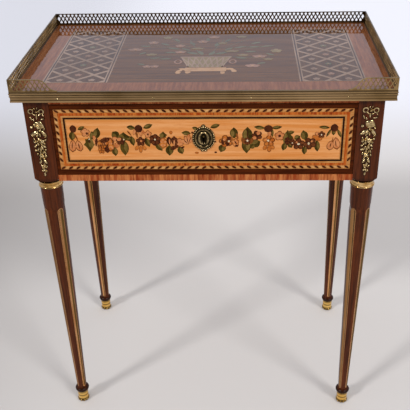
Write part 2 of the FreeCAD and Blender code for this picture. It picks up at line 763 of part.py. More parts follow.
def sabot():
    """A turned brass foot: a waisted cup over a rounded bead and a flat base, bored for the leg's spigot."""
    bore = SPIGOT_RADIUS + BRASS_FIT
    floor = SABOT_HEIGHT - SPIGOT_LENGTH - JOINT_END_GAP
    bead_z = SABOT_BEAD_HEIGHT
    return revolve(chain([
        (0, 0), (SABOT_BASE_RADIUS, 0),
        (SABOT_WAIST, bead_z, SABOT_RADIUS, bead_z * 0.55),
        (SABOT_RADIUS, SABOT_HEIGHT, SABOT_WAIST, (bead_z + SABOT_HEIGHT) / 2),
        (bore, SABOT_HEIGHT), (bore, floor), (0, floor),
    ]))


def leg_brasses():
    ring, foot = collar(), sabot()
    pieces = {}
    for name, (sx, sy) in CORNERS.items():
        place = Vector(sx * LEG_X, sy * LEG_Y, 0)
        for prefix, shape in (("leg_collar_", ring), ("foot_", foot)):
            placed = shape.copy()
            placed.translate(place)
            pieces[prefix + name] = placed
    return pieces


# Frieze

def side_panel(sx):
    panel = box(sx * PANEL_IN_X, sx * PANEL_X, -OPEN_Y, OPEN_Y, APRON_Z, UNDER_Z)
    body = fuse([panel, side_tenon(sx, -1), side_tenon(sx, 1)])
    return cut(body, [screw_hole(at, out, runner_screw_length()) for at, out in runner_screw_places(sx)])


def back_panel():
    panel = box(-OPEN_X, OPEN_X, PANEL_IN_Y, PANEL_Y, APRON_Z, UNDER_Z)
    return fuse([panel, back_tenon(-1), back_tenon(1)])


def front_bottom_rail():
    rail = box(-OPEN_X, OPEN_X, -CORE_Y, -OPEN_Y, APRON_Z, RUN_Z)
    return fuse([rail, rail_tenon(-1), rail_tenon(1)])


def front_top_rail():
    rail = box(-OPEN_X, OPEN_X, -CORE_Y, -OPEN_Y, KICK_Z, UNDER_Z)
    body = fuse([rail, rail_dovetail(-1), rail_dovetail(1)])
    return body.cut(bolt_way(KICK_Z, UNDER_Z, 2 * BOLT_CLEAR))


def rail_crossbanding():
    levels = ((APRON_Z, RUN_Z), (KICK_Z, UNDER_Z))
    return Part.makeCompound([box(-OPEN_X, OPEN_X, -FACE_Y, -CORE_Y, low, high) for low, high in levels])


def runner(sx):
    """A rebated strip: the drawer side slides on its flat and against its upright guide."""
    inner = OPEN_X - RUNNER_REACH
    flat = box(sx * inner, sx * PANEL_IN_X, -OPEN_Y, OPEN_Y, APRON_Z, RUN_Z)
    guide = box(sx * guide_x(), sx * PANEL_IN_X, -OPEN_Y, OPEN_Y, RUN_Z, RUN_Z + GUIDE_HEIGHT)
    holes = [screw_hole(at, out, runner_screw_length()) for at, out in runner_screw_places(sx)]
    return cut(fuse([flat, guide]), holes)


def kicker(sx):
    strip = box(sx * (OPEN_X - RUNNER_REACH), sx * PANEL_IN_X, -OPEN_Y, OPEN_Y, KICK_Z, UNDER_Z)
    return cut(strip, [screw_hole(at, out) for at, out in kicker_screw_places(sx)])


def drawer_stops():
    """Two blocks glued inside the back panel, just behind the closed drawer's sides."""
    near = DRAWER_END_Y + STOP_GAP
    top = RUN_Z + STOP_HEIGHT
    inner = OPEN_X - RUNNER_REACH
    blocks = [box(sx * inner, sx * SIDE_X, near, PANEL_IN_Y, RUN_Z, top) for sx in SIDES.values()]
    return Part.makeCompound(blocks)


def wood_screws():
    group = []
    for sx in SIDES.values():
        group += [screw(at, out) for at, out in kicker_screw_places(sx)]
        group += [screw(at, out, runner_screw_length()) for at, out in runner_screw_places(sx)]
    return Part.makeCompound(group)


# Corner mounts

def corner_mount(sx):
    """A cast chute on the front of a leg block: a ribbon bow, a quiver over two torches, and a drop of
    blossoms that narrows to a tip. It is modelled on the right and mirrored."""
    top = UNDER_Z - MOUNT_TOP_MARGIN
    back = -FACE_Y
    parts = []

    def at(x, down):
        return Vector(LEG_X + x, back, top - down)

    def rod(first, last, first_radius, last_radius):
        span = last - first
        parts.append(Part.makeCone(first_radius, last_radius, span.Length, first, span))

    def dome(x, down, radius):
        parts.append(Part.makeSphere(radius, at(x, down), Vector(0, -1, 0), 0, 90, 360))

    for side in (-1, 1):
        loop = at(side * BOW_SPREAD, BOW_DROP)
        parts.append(Part.makeTorus(BOW_RADIUS, RIBBON_RADIUS, loop, Vector(0, 1, 0)))
        rod(at(0, BOW_DROP), at(side * BOW_SPREAD, RIBBON_DROP), RIBBON_RADIUS, RIBBON_RADIUS * 0.7)
        rod(at(0, TORCH_TOP_DROP), at(side * TORCH_SPREAD, TORCH_END_DROP), TORCH_RADIUS, TORCH_END_RADIUS)
    rod(at(0, BOW_DROP), at(0, MOUNT_HEIGHT), STEM_RADIUS, STEM_TIP_RADIUS)
    quiver = Part.makeBox(QUIVER_LENGTH, QUIVER_RELIEF, QUIVER_WIDTH)
    quiver.translate(at(-QUIVER_LENGTH / 2, QUIVER_DROP + QUIVER_WIDTH / 2) - Vector(0, QUIVER_RELIEF, 0))
    quiver.rotate(at(0, QUIVER_DROP), Vector(0, 1, 0), QUIVER_TURN)
    parts.append(quiver)
    for row in range(DROP_ROWS):
        share = row / (DROP_ROWS - 1)
        step = (MOUNT_HEIGHT - DROP_START) / DROP_ROWS
        down = DROP_START + row * step
        spread = DROP_SPREAD + share * (DROP_TIP_SPREAD - DROP_SPREAD)
        radius = BLOSSOM_RADIUS + share * (BLOSSOM_TIP_RADIUS - BLOSSOM_RADIUS)
        for side in (-1, 1):
            dome(side * spread, down, radius)
        dome(0, down + step / 2, radius)
    for place, out in mount_pin_places(1):
        foot = Vector(place.x, back, place.z)
        parts.append(Part.makeCylinder(MOUNT_PAD_RADIUS, MOUNT_PAD_THICK, foot, out))
    relief = box(FACE_X - BLOCK_SIDE, FACE_X, back - MOUNT_RELIEF, back, APRON_Z, UNDER_Z)
    body = fuse(parts).common(relief)
    clear = []
    for place, out in mount_pin_places(1):
        seat = Part.makeCylinder(PIN_HEAD_RADIUS + HOLE_GAP, 2 * MOUNT_RELIEF, place, out)
        clear += [seat, pin_hole(place, out)]
    return across(cut(body, clear), sx)


def brass_pins():
    places = edge_pin_places() + mount_pin_places(-1) + mount_pin_places(1)
    return Part.makeCompound([pin(at, out) for at, out in places])


# Drawer

def keyhole(y0, y1, grow=0.0):
    """The keyhole as a cutter: a round over a slot."""
    top = Vector(0, min(y0, y1), KEY_Z)
    deep = abs(y1 - y0)
    round_part = Part.makeCylinder(KEYHOLE_RADIUS + grow, deep, top, Vector(0, 1, 0))
    half = KEYHOLE_SLOT / 2 + grow
    slot = box(-half, half, y0, y1, KEY_Z - KEYHOLE_DROP - grow, KEY_Z)
    return round_part.fuse(slot)


def front_slab(inset_x, inset_low, inset_top):
    x = DRAWER_X - inset_x
    return box(-x, x, -FACE_Y, -CORE_Y, DRAWER_Z + inset_low, DRAWER_TOP_Z - inset_top)


def escutcheon_pin_places():
    """The middles of the two finials, where the plate is pinned."""
    rise = ESCUTCHEON_HEIGHT / 2 - FINIAL_INSET
    face = -FACE_Y - ESCUTCHEON_THICK
    return [(Vector(0, face, PLATE_Z + way * rise), Vector(0, -1, 0)) for way in (-1, 1)]


def lock_screw_places():
    x = (LOCK_PLATE_WIDTH + LOCK_CASE_WIDTH) / 4
    low = KEY_Z - LOCK_BELOW_KEY + 2 * SCREW_HEAD_RADIUS
    high = DRAWER_TOP_Z - 3 * SCREW_HEAD_RADIUS
    return [(Vector(sx * x, -DRAWER_IN_Y, z), Vector(0, 1, 0)) for sx in (-1, 1) for z in (low, high)]


def drawer_veneers():
    insets = (BANDING_SIDE, BANDING_BOTTOM, BANDING_TOP)
    border = front_slab(*insets)
    field = front_slab(*[inset + BORDER_WIDTH for inset in insets])
    holes = [keyhole(-FACE_Y - 1, -CORE_Y + 1)] + [pin_hole(at, out) for at, out in escutcheon_pin_places()]
    return {
        "drawer_front_banding": front_slab(0, 0, 0).cut(border),
        "drawer_front_border": border.cut(field),
        "drawer_front_field": cut(field, holes),
    }


def tails(sx, gap=0.0, end_gap=0.0):
    """The dovetails of a drawer side, as prisms across its thickness that run into the drawer front."""
    height = SIDE_TOP_Z - SIDE_Z
    x0 = SIDE_IN_X - gap
    x1 = DRAWER_X + 1 if gap else SIDE_X
    shapes = []
    for i in range(TAIL_COUNT):
        z = SIDE_Z + height * (i + 0.5) / TAIL_COUNT
        length = TAIL_LENGTH + end_gap
        neck = TAIL_NECK / 2 + gap
        end = neck + (TAIL_END - TAIL_NECK) / 2 * length / TAIL_LENGTH
        near, far = -DRAWER_IN_Y, -DRAWER_IN_Y - length
        points = [
            Vector(x0, near, z - neck), Vector(x0, near, z + neck),
            Vector(x0, far, z + end), Vector(x0, far, z - end),
        ]
        shapes.append(across(prism(points, Vector(x1 - x0, 0, 0)), sx))
    return shapes


def lock_recess():
    plate_x = LOCK_PLATE_WIDTH / 2 + JOINT_GAP
    case_x = LOCK_CASE_WIDTH / 2 + JOINT_GAP
    low = KEY_Z - LOCK_BELOW_KEY - JOINT_GAP
    shallow = box(-plate_x, plate_x, -DRAWER_IN_Y - LOCK_PLATE_THICK, -DRAWER_IN_Y, low, DRAWER_TOP_Z)
    deep = box(-case_x, case_x, -LOCK_Y - JOINT_GAP, -DRAWER_IN_Y, low, DRAWER_TOP_Z)
    ledge = DRAWER_TOP_Z - SELVEDGE_THICK
    shelf = box(-plate_x, plate_x, -LOCK_Y - JOINT_GAP, -DRAWER_IN_Y, ledge, DRAWER_TOP_Z)
    return [shallow, deep, shelf]


def drawer_front():
    core = box(-DRAWER_X, DRAWER_X, -CORE_Y, -DRAWER_IN_Y, DRAWER_Z, DRAWER_TOP_Z)
    groove_x = SIDE_IN_X + GROOVE_DEPTH
    tools = [box(-groove_x, groove_x, -DRAWER_IN_Y - GROOVE_DEPTH - JOINT_END_GAP, -DRAWER_IN_Y,
                 BOTTOM_Z - JOINT_GAP, BOTTOM_TOP_Z + JOINT_GAP)]
    tools += lock_recess()
    tools.append(keyhole(-CORE_Y - 1, -LOCK_Y + 1))
    tools += [pin_hole(at, out) for at, out in escutcheon_pin_places()]
    tools += [screw_hole(at, out, LOCK_SCREW_LENGTH) for at, out in lock_screw_places()]
    for sx in SIDES.values():
        tools += tails(sx, JOINT_GAP, JOINT_END_GAP)
    return cut(core, tools)


def drawer_back_place():
    return DRAWER_END_Y - DRAWER_BACK_THICK, DRAWER_END_Y


def drawer_side(sx):
    board = box(sx * SIDE_IN_X, sx * SIDE_X, -DRAWER_IN_Y, DRAWER_END_Y, SIDE_Z, SIDE_TOP_Z)
    body = fuse([board] + tails(sx))
    near, far = drawer_back_place()
    deep = sx * (SIDE_IN_X + GROOVE_DEPTH + JOINT_GAP)
    groove = box(sx * SIDE_IN_X, deep, -DRAWER_IN_Y - TAIL_LENGTH - 1, DRAWER_END_Y + 1,
                 BOTTOM_Z - JOINT_GAP, BOTTOM_TOP_Z + JOINT_GAP)
    dado = box(sx * SIDE_IN_X, deep, near - JOINT_GAP, far + 1, BOTTOM_Z, SIDE_TOP_Z + 1)
    return body.cut([groove, dado])


def drawer_back():
    near, far = drawer_back_place()
    x = SIDE_IN_X + GROOVE_DEPTH
    return box(-x, x, near, far, BOTTOM_TOP_Z + JOINT_GAP, SIDE_TOP_Z - DRAWER_BACK_DROP)


def drawer_bottom():
    x = SIDE_IN_X + GROOVE_DEPTH - JOINT_GAP
    return box(-x, x, -DRAWER_IN_Y - GROOVE_DEPTH, DRAWER_END_Y, BOTTOM_Z, BOTTOM_TOP_Z)


# Escutcheon

def oval(width, height, y0, y1):
    """An upright oval slab about the middle of the escutcheon, from y0 forward to y1."""
    rim = Part.Ellipse(Vector(0, 0, 0), height / 2, width / 2).toShape()
    slab = Part.Face(Part.Wire([rim])).extrude(Vector(0, 0, y0 - y1))
    upright = FreeCAD.Rotation(Vector(0, 0, 1), Vector(1, 0, 0), Vector(0, -1, 0), "ZXY")
    slab.Placement = FreeCAD.Placement(Vector(0, y0, PLATE_Z), upright)
    return slab


def escutcheon():
    """An oval plate with a finial above and below, a raised ring and a raised rim round the keyhole."""
    face = -FACE_Y
    front = face - ESCUTCHEON_THICK
    raised = front - ESCUTCHEON_RELIEF
    plate = [oval(ESCUTCHEON_WIDTH, ESCUTCHEON_HEIGHT, face, front)]
    for at, out in escutcheon_pin_places():
        plate.append(Part.makeCylinder(FINIAL_RADIUS, ESCUTCHEON_THICK, Vector(0, face, at.z), out))
    ring_in = ESCUTCHEON_LEDGE + ESCUTCHEON_RING
    ring_out = ESCUTCHEON_LEDGE
    outer = oval(ESCUTCHEON_WIDTH - 2 * ring_out, ESCUTCHEON_HEIGHT - 2 * ring_out, face, raised)
    hollow = oval(ESCUTCHEON_WIDTH - 2 * ring_in, ESCUTCHEON_HEIGHT - 2 * ring_in, front, raised)
    rim_height = KEYHOLE_RADIUS + KEYHOLE_DROP + 2 * KEYHOLE_RIM
    rim = oval(2 * (KEYHOLE_RADIUS + KEYHOLE_RIM), rim_height, face, raised)
    body = fuse([fuse(plate + [outer]).cut(hollow), rim])
    tools = [keyhole(face, raised, KEYHOLE_EASE)]
    for at, out in escutcheon_pin_places():
        seat = Part.makeCylinder(PIN_HEAD_RADIUS + HOLE_GAP, ESCUTCHEON_THICK, at, out)
        tools += [seat, pin_hole(at, out)]
    return cut(body, tools)


def escutcheon_pins():
    return Part.makeCompound([pin(at, out) for at, out in escutcheon_pin_places()])


# Lock

def bolt_way(z0, z1, gap):
    half = BOLT_WIDTH / 2 + gap
    return box(-half, half, -BOLT_Y - BOLT_THICK - gap, -BOLT_Y + gap, z0, z1)


def tail_x():
    """Inner and outer side of the bolt's tail, which passes to the right of the key."""
    inner = KEYHOLE_RADIUS + TAIL_PAST_KEYHOLE
    return inner, inner + TAIL_WIDTH


def guide_pin_place():
    return sum(tail_x()) / 2, KEY_Z + YOKE_ABOVE_KEY


def tumbler_pin_place():
    return -TUMBLER_PIN_OFFSET, KEY_Z + TUMBLER_PIN_ABOVE_KEY


def lock_layer():
    """Back of the layer of the lock where the tumbler and its spring lie, beside the plate."""
    return -DRAWER_IN_Y - LOCK_PLATE_THICK - BOLT_CLEAR


def lock_post(x, z, radius, far):
    """A post riveted in the lock plate that stands towards the front."""
    near = -DRAWER_IN_Y - LOCK_PLATE_THICK
    return Part.makeCylinder(radius, near - far, Vector(x, near, z), Vector(0, -1, 0))


def lock_case():
    """The lock's plate, selvedge, side walls and cap, with the key post and the pins that guide its works."""
    low = KEY_Z - LOCK_BELOW_KEY
    inner = -DRAWER_IN_Y - LOCK_PLATE_THICK
    plate_x, case_x = LOCK_PLATE_WIDTH / 2, LOCK_CASE_WIDTH / 2
    selvedge_z = DRAWER_TOP_Z - SELVEDGE_THICK
    plate = box(-plate_x, plate_x, inner, -DRAWER_IN_Y, low, DRAWER_TOP_Z)
    selvedge = box(-plate_x, plate_x, -LOCK_Y, inner, selvedge_z, DRAWER_TOP_Z)
    cap = box(-case_x, case_x, -LOCK_Y, -LOCK_Y + LOCK_WALL, low, selvedge_z)
    cap_in = -LOCK_Y + LOCK_WALL
    walls = [box(sx * case_x, sx * (case_x - LOCK_WALL), cap_in, inner, low, selvedge_z) for sx in (-1, 1)]
    posts = [
        lock_post(*guide_pin_place(), GUIDE_PIN_RADIUS, cap_in),
        lock_post(*tumbler_pin_place(), TUMBLER_PIN_RADIUS, cap_in),
    ]
    shell = fuse([plate, selvedge, cap] + walls + posts)
    tools = [keyhole(-LOCK_Y, cap_in), bolt_way(selvedge_z, DRAWER_TOP_Z, BOLT_CLEAR)]
    tools += [screw_hole(at, out, LOCK_SCREW_LENGTH) for at, out in lock_screw_places()]
    key_post = lock_post(0, KEY_Z, KEY_POST_RADIUS, -CORE_Y)
    return fuse([cut(shell, tools), key_post])


def lock_bolt():
    """A flat bolt: its head shoots up through the selvedge, and its tail passes the key with a talon."""
    back, front = -BOLT_Y, -BOLT_Y - BOLT_THICK
    half = BOLT_WIDTH / 2
    inner, outer = tail_x()
    yoke_z = KEY_Z + YOKE_ABOVE_KEY
    tail_z = KEY_Z - TAIL_BELOW_KEY
    head = box(-half, half, front, back, yoke_z, DRAWER_TOP_Z - BOLT_CLEAR)
    yoke = box(-half, outer, front, back, yoke_z, yoke_z + YOKE_HEIGHT)
    tail = box(inner, outer, front, back, tail_z, yoke_z)
    talon = box(inner, inner + TALON_DEPTH, front, back, KEY_Z - TALON_HEIGHT / 2, KEY_Z + TALON_HEIGHT / 2)
    x, z = guide_pin_place()
    reach = GUIDE_PIN_RADIUS + BOLT_CLEAR
    slot = box(x - reach, x + reach, front, back, z - BOLT_TRAVEL - reach, z + reach)
    return fuse([head, yoke, tail]).cut([talon, slot])


def lock_tumbler():
    """A lever on its pin: an arm that crosses the lock, with a belly hanging over the key."""
    x, z = tumbler_pin_place()
    back = lock_layer()
    front = back - TUMBLER_THICK
    half = TUMBLER_ARM / 2
    eye = Part.makeCylinder(TUMBLER_EYE_RADIUS, TUMBLER_THICK, Vector(x, back, z), Vector(0, -1, 0))
    arm = box(x, x + TUMBLER_REACH, back, front, z - half, z + half)
    belly = box(-BELLY_WIDTH, 0, back, front, KEY_Z + BELLY_ABOVE_KEY, z)
    bore_radius = TUMBLER_PIN_RADIUS + TUMBLER_PIN_GAP
    bore = Part.makeCylinder(bore_radius, TUMBLER_THICK, Vector(x, back, z), Vector(0, -1, 0))
    return fuse([eye, arm, belly]).cut(bore)


def tumbler_spring():
    """A leaf spring bent to a V between the selvedge and the end of the tumbler's arm."""
    x, z = tumbler_pin_place()
    back = lock_layer()
    end = x + TUMBLER_REACH - TUMBLER_PIN_RADIUS
    low = z + TUMBLER_ARM / 2 + JOINT_GAP
    top = DRAWER_TOP_Z - SELVEDGE_THICK - JOINT_GAP
    middle = (low + top) / 2
    bend = end - SPRING_REACH
    loop = [
        Vector(end, back, low), Vector(bend, back, middle), Vector(end, back, top),
        Vector(end, back, top - SPRING_THICK), Vector(bend + 2 * SPRING_THICK, back, middle),
        Vector(end, back, low + SPRING_THICK),
    ]
    return prism(loop, Vector(0, -TUMBLER_THICK, 0))


def lock_screws():
    return Part.makeCompound([screw(at, out, LOCK_SCREW_LENGTH) for at, out in lock_screw_places()])


def pieces():
    found = {"top_board": top_board()}
    found.update(top_veneers())
    found.update(edges())
    found.update(gallery())
    found.update(legs())
    found.update(leg_brasses())
    found.update(drawer_veneers())
    for name, sx in SIDES.items():
        found["side_panel_" + name] = side_panel(sx)
        found["drawer_runner_" + name] = runner(sx)
        found["drawer_kicker_" + name] = kicker(sx)
        found["corner_mount_" + name] = corner_mount(sx)
        found["drawer_side_" + name] = drawer_side(sx)
    makers = (
        back_panel, front_bottom_rail, front_top_rail, rail_crossbanding, drawer_stops, wood_screws,
        brass_pins, drawer_front, drawer_back, drawer_bottom, escutcheon, escutcheon_pins,
        lock_case, lock_bolt, lock_tumbler, tumbler_spring, lock_screws,
    )
    for maker in makers:
        found[maker.__name__] = maker()
    return found


def main():
    os.makedirs("parts", exist_ok=True)
    for name, shape in pieces().items():
        solids = shape.Solids
        print(name, len(solids), "solids", round(sum(s.Volume for s in solids), 1), "mm3", shape.isValid())
        shape.exportStep(os.path.join("parts", name + ".step"))


main()
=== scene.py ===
import math

import bmesh
import bpy
from mathutils import Matrix, Vector


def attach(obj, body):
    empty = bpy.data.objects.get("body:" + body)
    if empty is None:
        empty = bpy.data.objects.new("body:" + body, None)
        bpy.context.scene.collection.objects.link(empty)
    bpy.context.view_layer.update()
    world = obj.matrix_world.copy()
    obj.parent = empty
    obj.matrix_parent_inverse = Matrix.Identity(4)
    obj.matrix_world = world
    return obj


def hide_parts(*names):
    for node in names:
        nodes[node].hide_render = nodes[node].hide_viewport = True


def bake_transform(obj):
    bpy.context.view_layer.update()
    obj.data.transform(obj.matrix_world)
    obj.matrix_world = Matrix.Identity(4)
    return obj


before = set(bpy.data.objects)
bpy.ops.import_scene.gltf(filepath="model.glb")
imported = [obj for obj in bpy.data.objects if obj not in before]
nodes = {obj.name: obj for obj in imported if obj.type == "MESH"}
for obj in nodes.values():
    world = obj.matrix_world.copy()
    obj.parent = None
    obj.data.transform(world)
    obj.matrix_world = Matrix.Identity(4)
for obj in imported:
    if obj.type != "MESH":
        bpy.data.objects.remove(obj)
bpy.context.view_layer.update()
mm = 0.001
print("frame loaded,", len(nodes), "nodes")

finishes = {}
soft = {"interpolation_type": "SMOOTHSTEP"}


def linear(hexColour):
    channels = [int(hexColour[i:i + 2], 16) / 255 for i in (1, 3, 5)]
    return [c / 12.92 if c <= 0.04045 else ((c + 0.055) / 1.055) ** 2.4 for c in channels] + [1.0]


def wire(tree, node, settings=None, links=None):
    for name, value in (settings or {}).items():
        if isinstance(name, str) and hasattr(node, name):
            setattr(node, name, value)
        else:
            node.inputs[name].default_value = value
    for name, source in (links or {}).items():
        if isinstance(source, bpy.types.Node):  # a node by itself means its first live output
            source = next(socket for socket in source.outputs if socket.enabled)
        tree.links.new(source, node.inputs[name])
    return node


def addNode(tree, kind, settings=None, links=None):
    return wire(tree, tree.nodes.new("ShaderNode" + kind), settings, links)


def newFinish(name):
    material = bpy.data.materials.new(name)
    material.use_nodes = True
    finishes[name] = material
    return material.node_tree, material.node_tree.nodes["Principled BSDF"]


# Camera, light and floor

cameraSet = {
    "place": (0.0673, -1.3839, 1.2258),
    "pitch": -31.397, "yaw": -1.934, "roll": -1.047,  # degrees
    "lens": 64.89, "sensor": 36,  # mm, on a square frame
    "shift": (-0.0370, 0.0303),  # of a picture trimmed off centre
}
lightSet = {
    "left": {"azimuth": -47, "height": 36, "strength": 1.35, "spread": 9},  # degrees
    "right": {"azimuth": 42, "height": 38, "strength": 1.3, "spread": 16},
    "away": 3.0, "ambient": 0.66, "white": "#fafaff",  # soft light from all round
    # what polish and metal see: a dim room in front on the left, a window's light on the right, white sheet behind
    "mirrorFront": {"From Min": -0.15, "From Max": 0.75, "To Min": 0.08, "To Max": 0.75},
    "mirrorTurn": {"From Min": -0.3, "From Max": 0.3}, "mirrorBack": 0.74, "mirrorTint": "#e2ecff",
}
floorSet = {
    # the Left tones are painted shade: the sheet darkens towards the left
    "near": "#cfcbc8", "nearLeft": "#aba7a4", "far": "#e8e9f0", "farLeft": "#d2d3da",
    "reach": 9.0, "drop": 0.2 * mm, "roughness": 0.8, "shine": 0.1,
    "behind": {"From Min": 0.80, "From Max": 1.75}, "across": {"From Min": -0.95, "From Max": -0.18},
}


def setCamera():
    pitch, yaw, roll = (math.radians(cameraSet[k]) for k in ("pitch", "yaw", "roll"))
    ahead = Vector((math.sin(yaw) * math.cos(pitch), math.cos(yaw) * math.cos(pitch), math.sin(pitch)))
    right = Vector((math.cos(yaw), -math.sin(yaw), 0))
    up = right.cross(ahead)
    rolledRight = right * math.cos(roll) + up * math.sin(roll)
    rolledUp = up * math.cos(roll) - right * math.sin(roll)
    turn = Matrix((rolledRight, rolledUp, -ahead)).transposed().to_4x4()
    bpy.ops.object.camera_add()
    camera = bpy.context.object
    camera.matrix_world = Matrix.Translation(cameraSet["place"]) @ turn
    camera.data.lens = cameraSet["lens"]
    camera.data.sensor_width = cameraSet["sensor"]
    camera.data.shift_x, camera.data.shift_y = cameraSet["shift"]
    bpy.context.scene.camera = camera


def setLights():
    for side in ("left", "right"):
        lamp = lightSet[side]
        azimuth, height = math.radians(lamp["azimuth"]), math.radians(lamp["height"])
        towards = Vector((math.sin(azimuth) * math.cos(height), -math.cos(azimuth) * math.cos(height),
                          math.sin(height)))
        bpy.ops.object.light_add(type="SUN", location=towards * lightSet["away"])
        sun = bpy.context.object
        sun.name = side + "Softbox"
        sun.rotation_euler = (-towards).to_track_quat("-Z", "Y").to_euler()
        sun.data.energy = lamp["strength"]
        sun.data.angle = math.radians(lamp["spread"])
    world = bpy.data.worlds.new("studio")
    bpy.context.scene.world = world
    world.use_nodes = True
    tree = world.node_tree
    rays = addNode(tree, "LightPath").outputs
    mirrored = addNode(tree, "Math", {"operation": "MAXIMUM"},
                       {0: rays["Is Glossy Ray"], 1: rays["Is Transmission Ray"]})
    way = addNode(tree, "SeparateXYZ", None, {0: addNode(tree, "TexCoord").outputs["Generated"]}).outputs
    front = addNode(tree, "MapRange", {**soft, **lightSet["mirrorFront"]}, {"Value": way["X"]})
    behind = addNode(tree, "MapRange", {**soft, **lightSet["mirrorTurn"]}, {"Value": way["Y"]})
    room = addNode(tree, "Mix", {"data_type": "FLOAT", 3: lightSet["mirrorBack"]}, {0: behind, 2: front})
    plain = addNode(tree, "MapRange", {"To Min": lightSet["ambient"], "To Max": 1.0}, {"Value": rays["Is Camera Ray"]})
    level = addNode(tree, "Mix", {"data_type": "FLOAT"}, {0: mirrored, 2: plain, 3: room})
    tinted = addNode(tree, "Math", {"operation": "MULTIPLY"}, {0: mirrored, 1: behind})
    white = addNode(tree, "Mix", {"data_type": "RGBA", 6: linear(lightSet["white"]), 7: linear(lightSet["mirrorTint"])},
                    {0: tinted})
    wire(tree, tree.nodes["Background"], None, {"Color": white, "Strength": level})


def setFloor():
    bpy.ops.mesh.primitive_plane_add(size=2 * floorSet["reach"], location=(0, 0, -floorSet["drop"]))
    floor = bpy.context.object
    floor.name = "floor"
    tree, shader = newFinish("studio paper")  # matt sheet, paler where it rises behind, with painted shade darkening it towards the left
    axes = addNode(tree, "SeparateXYZ", None, {0: addNode(tree, "TexCoord").outputs["Object"]}).outputs
    behind = addNode(tree, "MapRange", {**soft, **floorSet["behind"]}, {"Value": axes["Y"]})
    across = addNode(tree, "MapRange", {**soft, **floorSet["across"]}, {"Value": axes["X"]})
    fore, back = (addNode(tree, "Mix", {"data_type": "RGBA", 6: linear(floorSet[part + "Left"]),
                                        7: linear(floorSet[part])}, {0: across}) for part in ("near", "far"))
    tone = addNode(tree, "Mix", {"data_type": "RGBA"}, {0: behind, 6: fore, 7: back})
    wire(tree, shader, {"Roughness": floorSet["roughness"], "Specular IOR Level": floorSet["shine"]},
         {"Base Color": tone})
    floor.data.materials.append(finishes["studio paper"])


bpy.context.scene.view_settings.view_transform = "Standard"
bpy.ops.object.select_all(action="DESELECT")
setCamera()
setLights()
setFloor()
print("camera, lights and floor set")


# Woods and metals

grainSet = {  # shared by all the woods
    "streak": {"Scale": 1.0, "Detail": 3.0, "Roughness": 0.6, "Distortion": 0.4},
    "pore": {"Scale": 1.0, "Detail": 2.0, "Roughness": 0.6, "Distortion": 0.0},
    "spread": {"From Min": 0.36, "From Max": 0.64}, "fine": {"From Min": 0.5, "From Max": 0.72},
    "bump": 0.35, "ior": 1.5, "waveDetail": 1.5,
}
castSet = {  # shared by all the metals
    "patches": {"Detail": 4.0, "Roughness": 0.65}, "specks": {"Detail": 2.0},
    "worn": {"From Min": 0.35, "From Max": 0.65}, "bump": 0.3,
}


def soiledAndShaded(tree, place, look, tone):
    # painted shade, with some old polish and dust, darkens bands along an axis: shadeAndDirt holds (place in mm along
    # an axis, how dark)
    shadeAndDirt = look["shadeAndDirt"]
    low, high = shadeAndDirt[0][0], shadeAndDirt[-1][0]
    axes = addNode(tree, "SeparateXYZ", None, {0: place}).outputs
    share = addNode(tree, "MapRange", {"From Min": low * mm, "From Max": high * mm},
                    {"Value": axes[look.get("across", "Z")]})
    ramp = addNode(tree, "ValToRGB", None, {"Fac": share})
    stops = ramp.color_ramp.elements
    for i, (height, dark) in enumerate(shadeAndDirt):
        at = (height - low) / (high - low)
        stop = stops[0] if i == 0 else stops.new(at) if i < len(shadeAndDirt) - 1 else stops[len(stops) - 1]
        stop.position = at
        stop.color = (dark, dark, dark, 1)
    return addNode(tree, "Mix", {"data_type": "RGBA", 7: linear(look["grimeAndShade"])}, {0: ramp, 6: tone})


def fluteShade(tree, coords, look, tone):
    # flutes of the legs: darker in their depth, painted shade on one wall and on the flutes facing left, the rest
    # rubbed bright
    axes = addNode(tree, "SeparateXYZ", None, {0: coords["Object"]}).outputs
    away = []
    for axis, far in zip("XY", look["legs"]):
        sign = addNode(tree, "Math", {"operation": "SIGN"}, {0: axes[axis]})
        away.append(addNode(tree, "Math", {"operation": "MULTIPLY_ADD", 1: -far * mm}, {0: sign, 2: axes[axis]}))
    spoke = addNode(tree, "CombineXYZ", None, {0: away[0], 1: away[1]})
    radius = addNode(tree, "VectorMath", {"operation": "LENGTH"}, {0: spoke})
    shaft = addNode(tree, "MapRange", look["shaft"], {"Value": axes["Z"]})
    depth = addNode(tree, "Math", {"operation": "SUBTRACT"}, {0: shaft, 1: radius})
    unit = addNode(tree, "VectorMath", {"operation": "NORMALIZE"}, {0: spoke})
    turned = addNode(tree, "VectorMath", {"operation": "CROSS_PRODUCT"}, {0: unit, 1: coords["Normal"]})
    shadedWall = addNode(tree, "SeparateXYZ", None, {0: turned}).outputs["Z"]
    facing = addNode(tree, "SeparateXYZ", None, {0: unit}).outputs["X"]
    shadeMasks = [addNode(tree, "MapRange", {**soft, **look[kind]}, {"Value": source})
              for kind, source in (("deep", depth), ("shadedWall", shadedWall), ("leftFacingShade", facing))]
    worst = shadeMasks[0]
    for other in shadeMasks[1:]:
        worst = addNode(tree, "Math", {"operation": "MAXIMUM"}, {0: worst, 1: other})
    return addNode(tree, "Mix", {"data_type": "RGBA", 7: linear(look["grimeAndShade"])}, {0: worst, 6: tone})


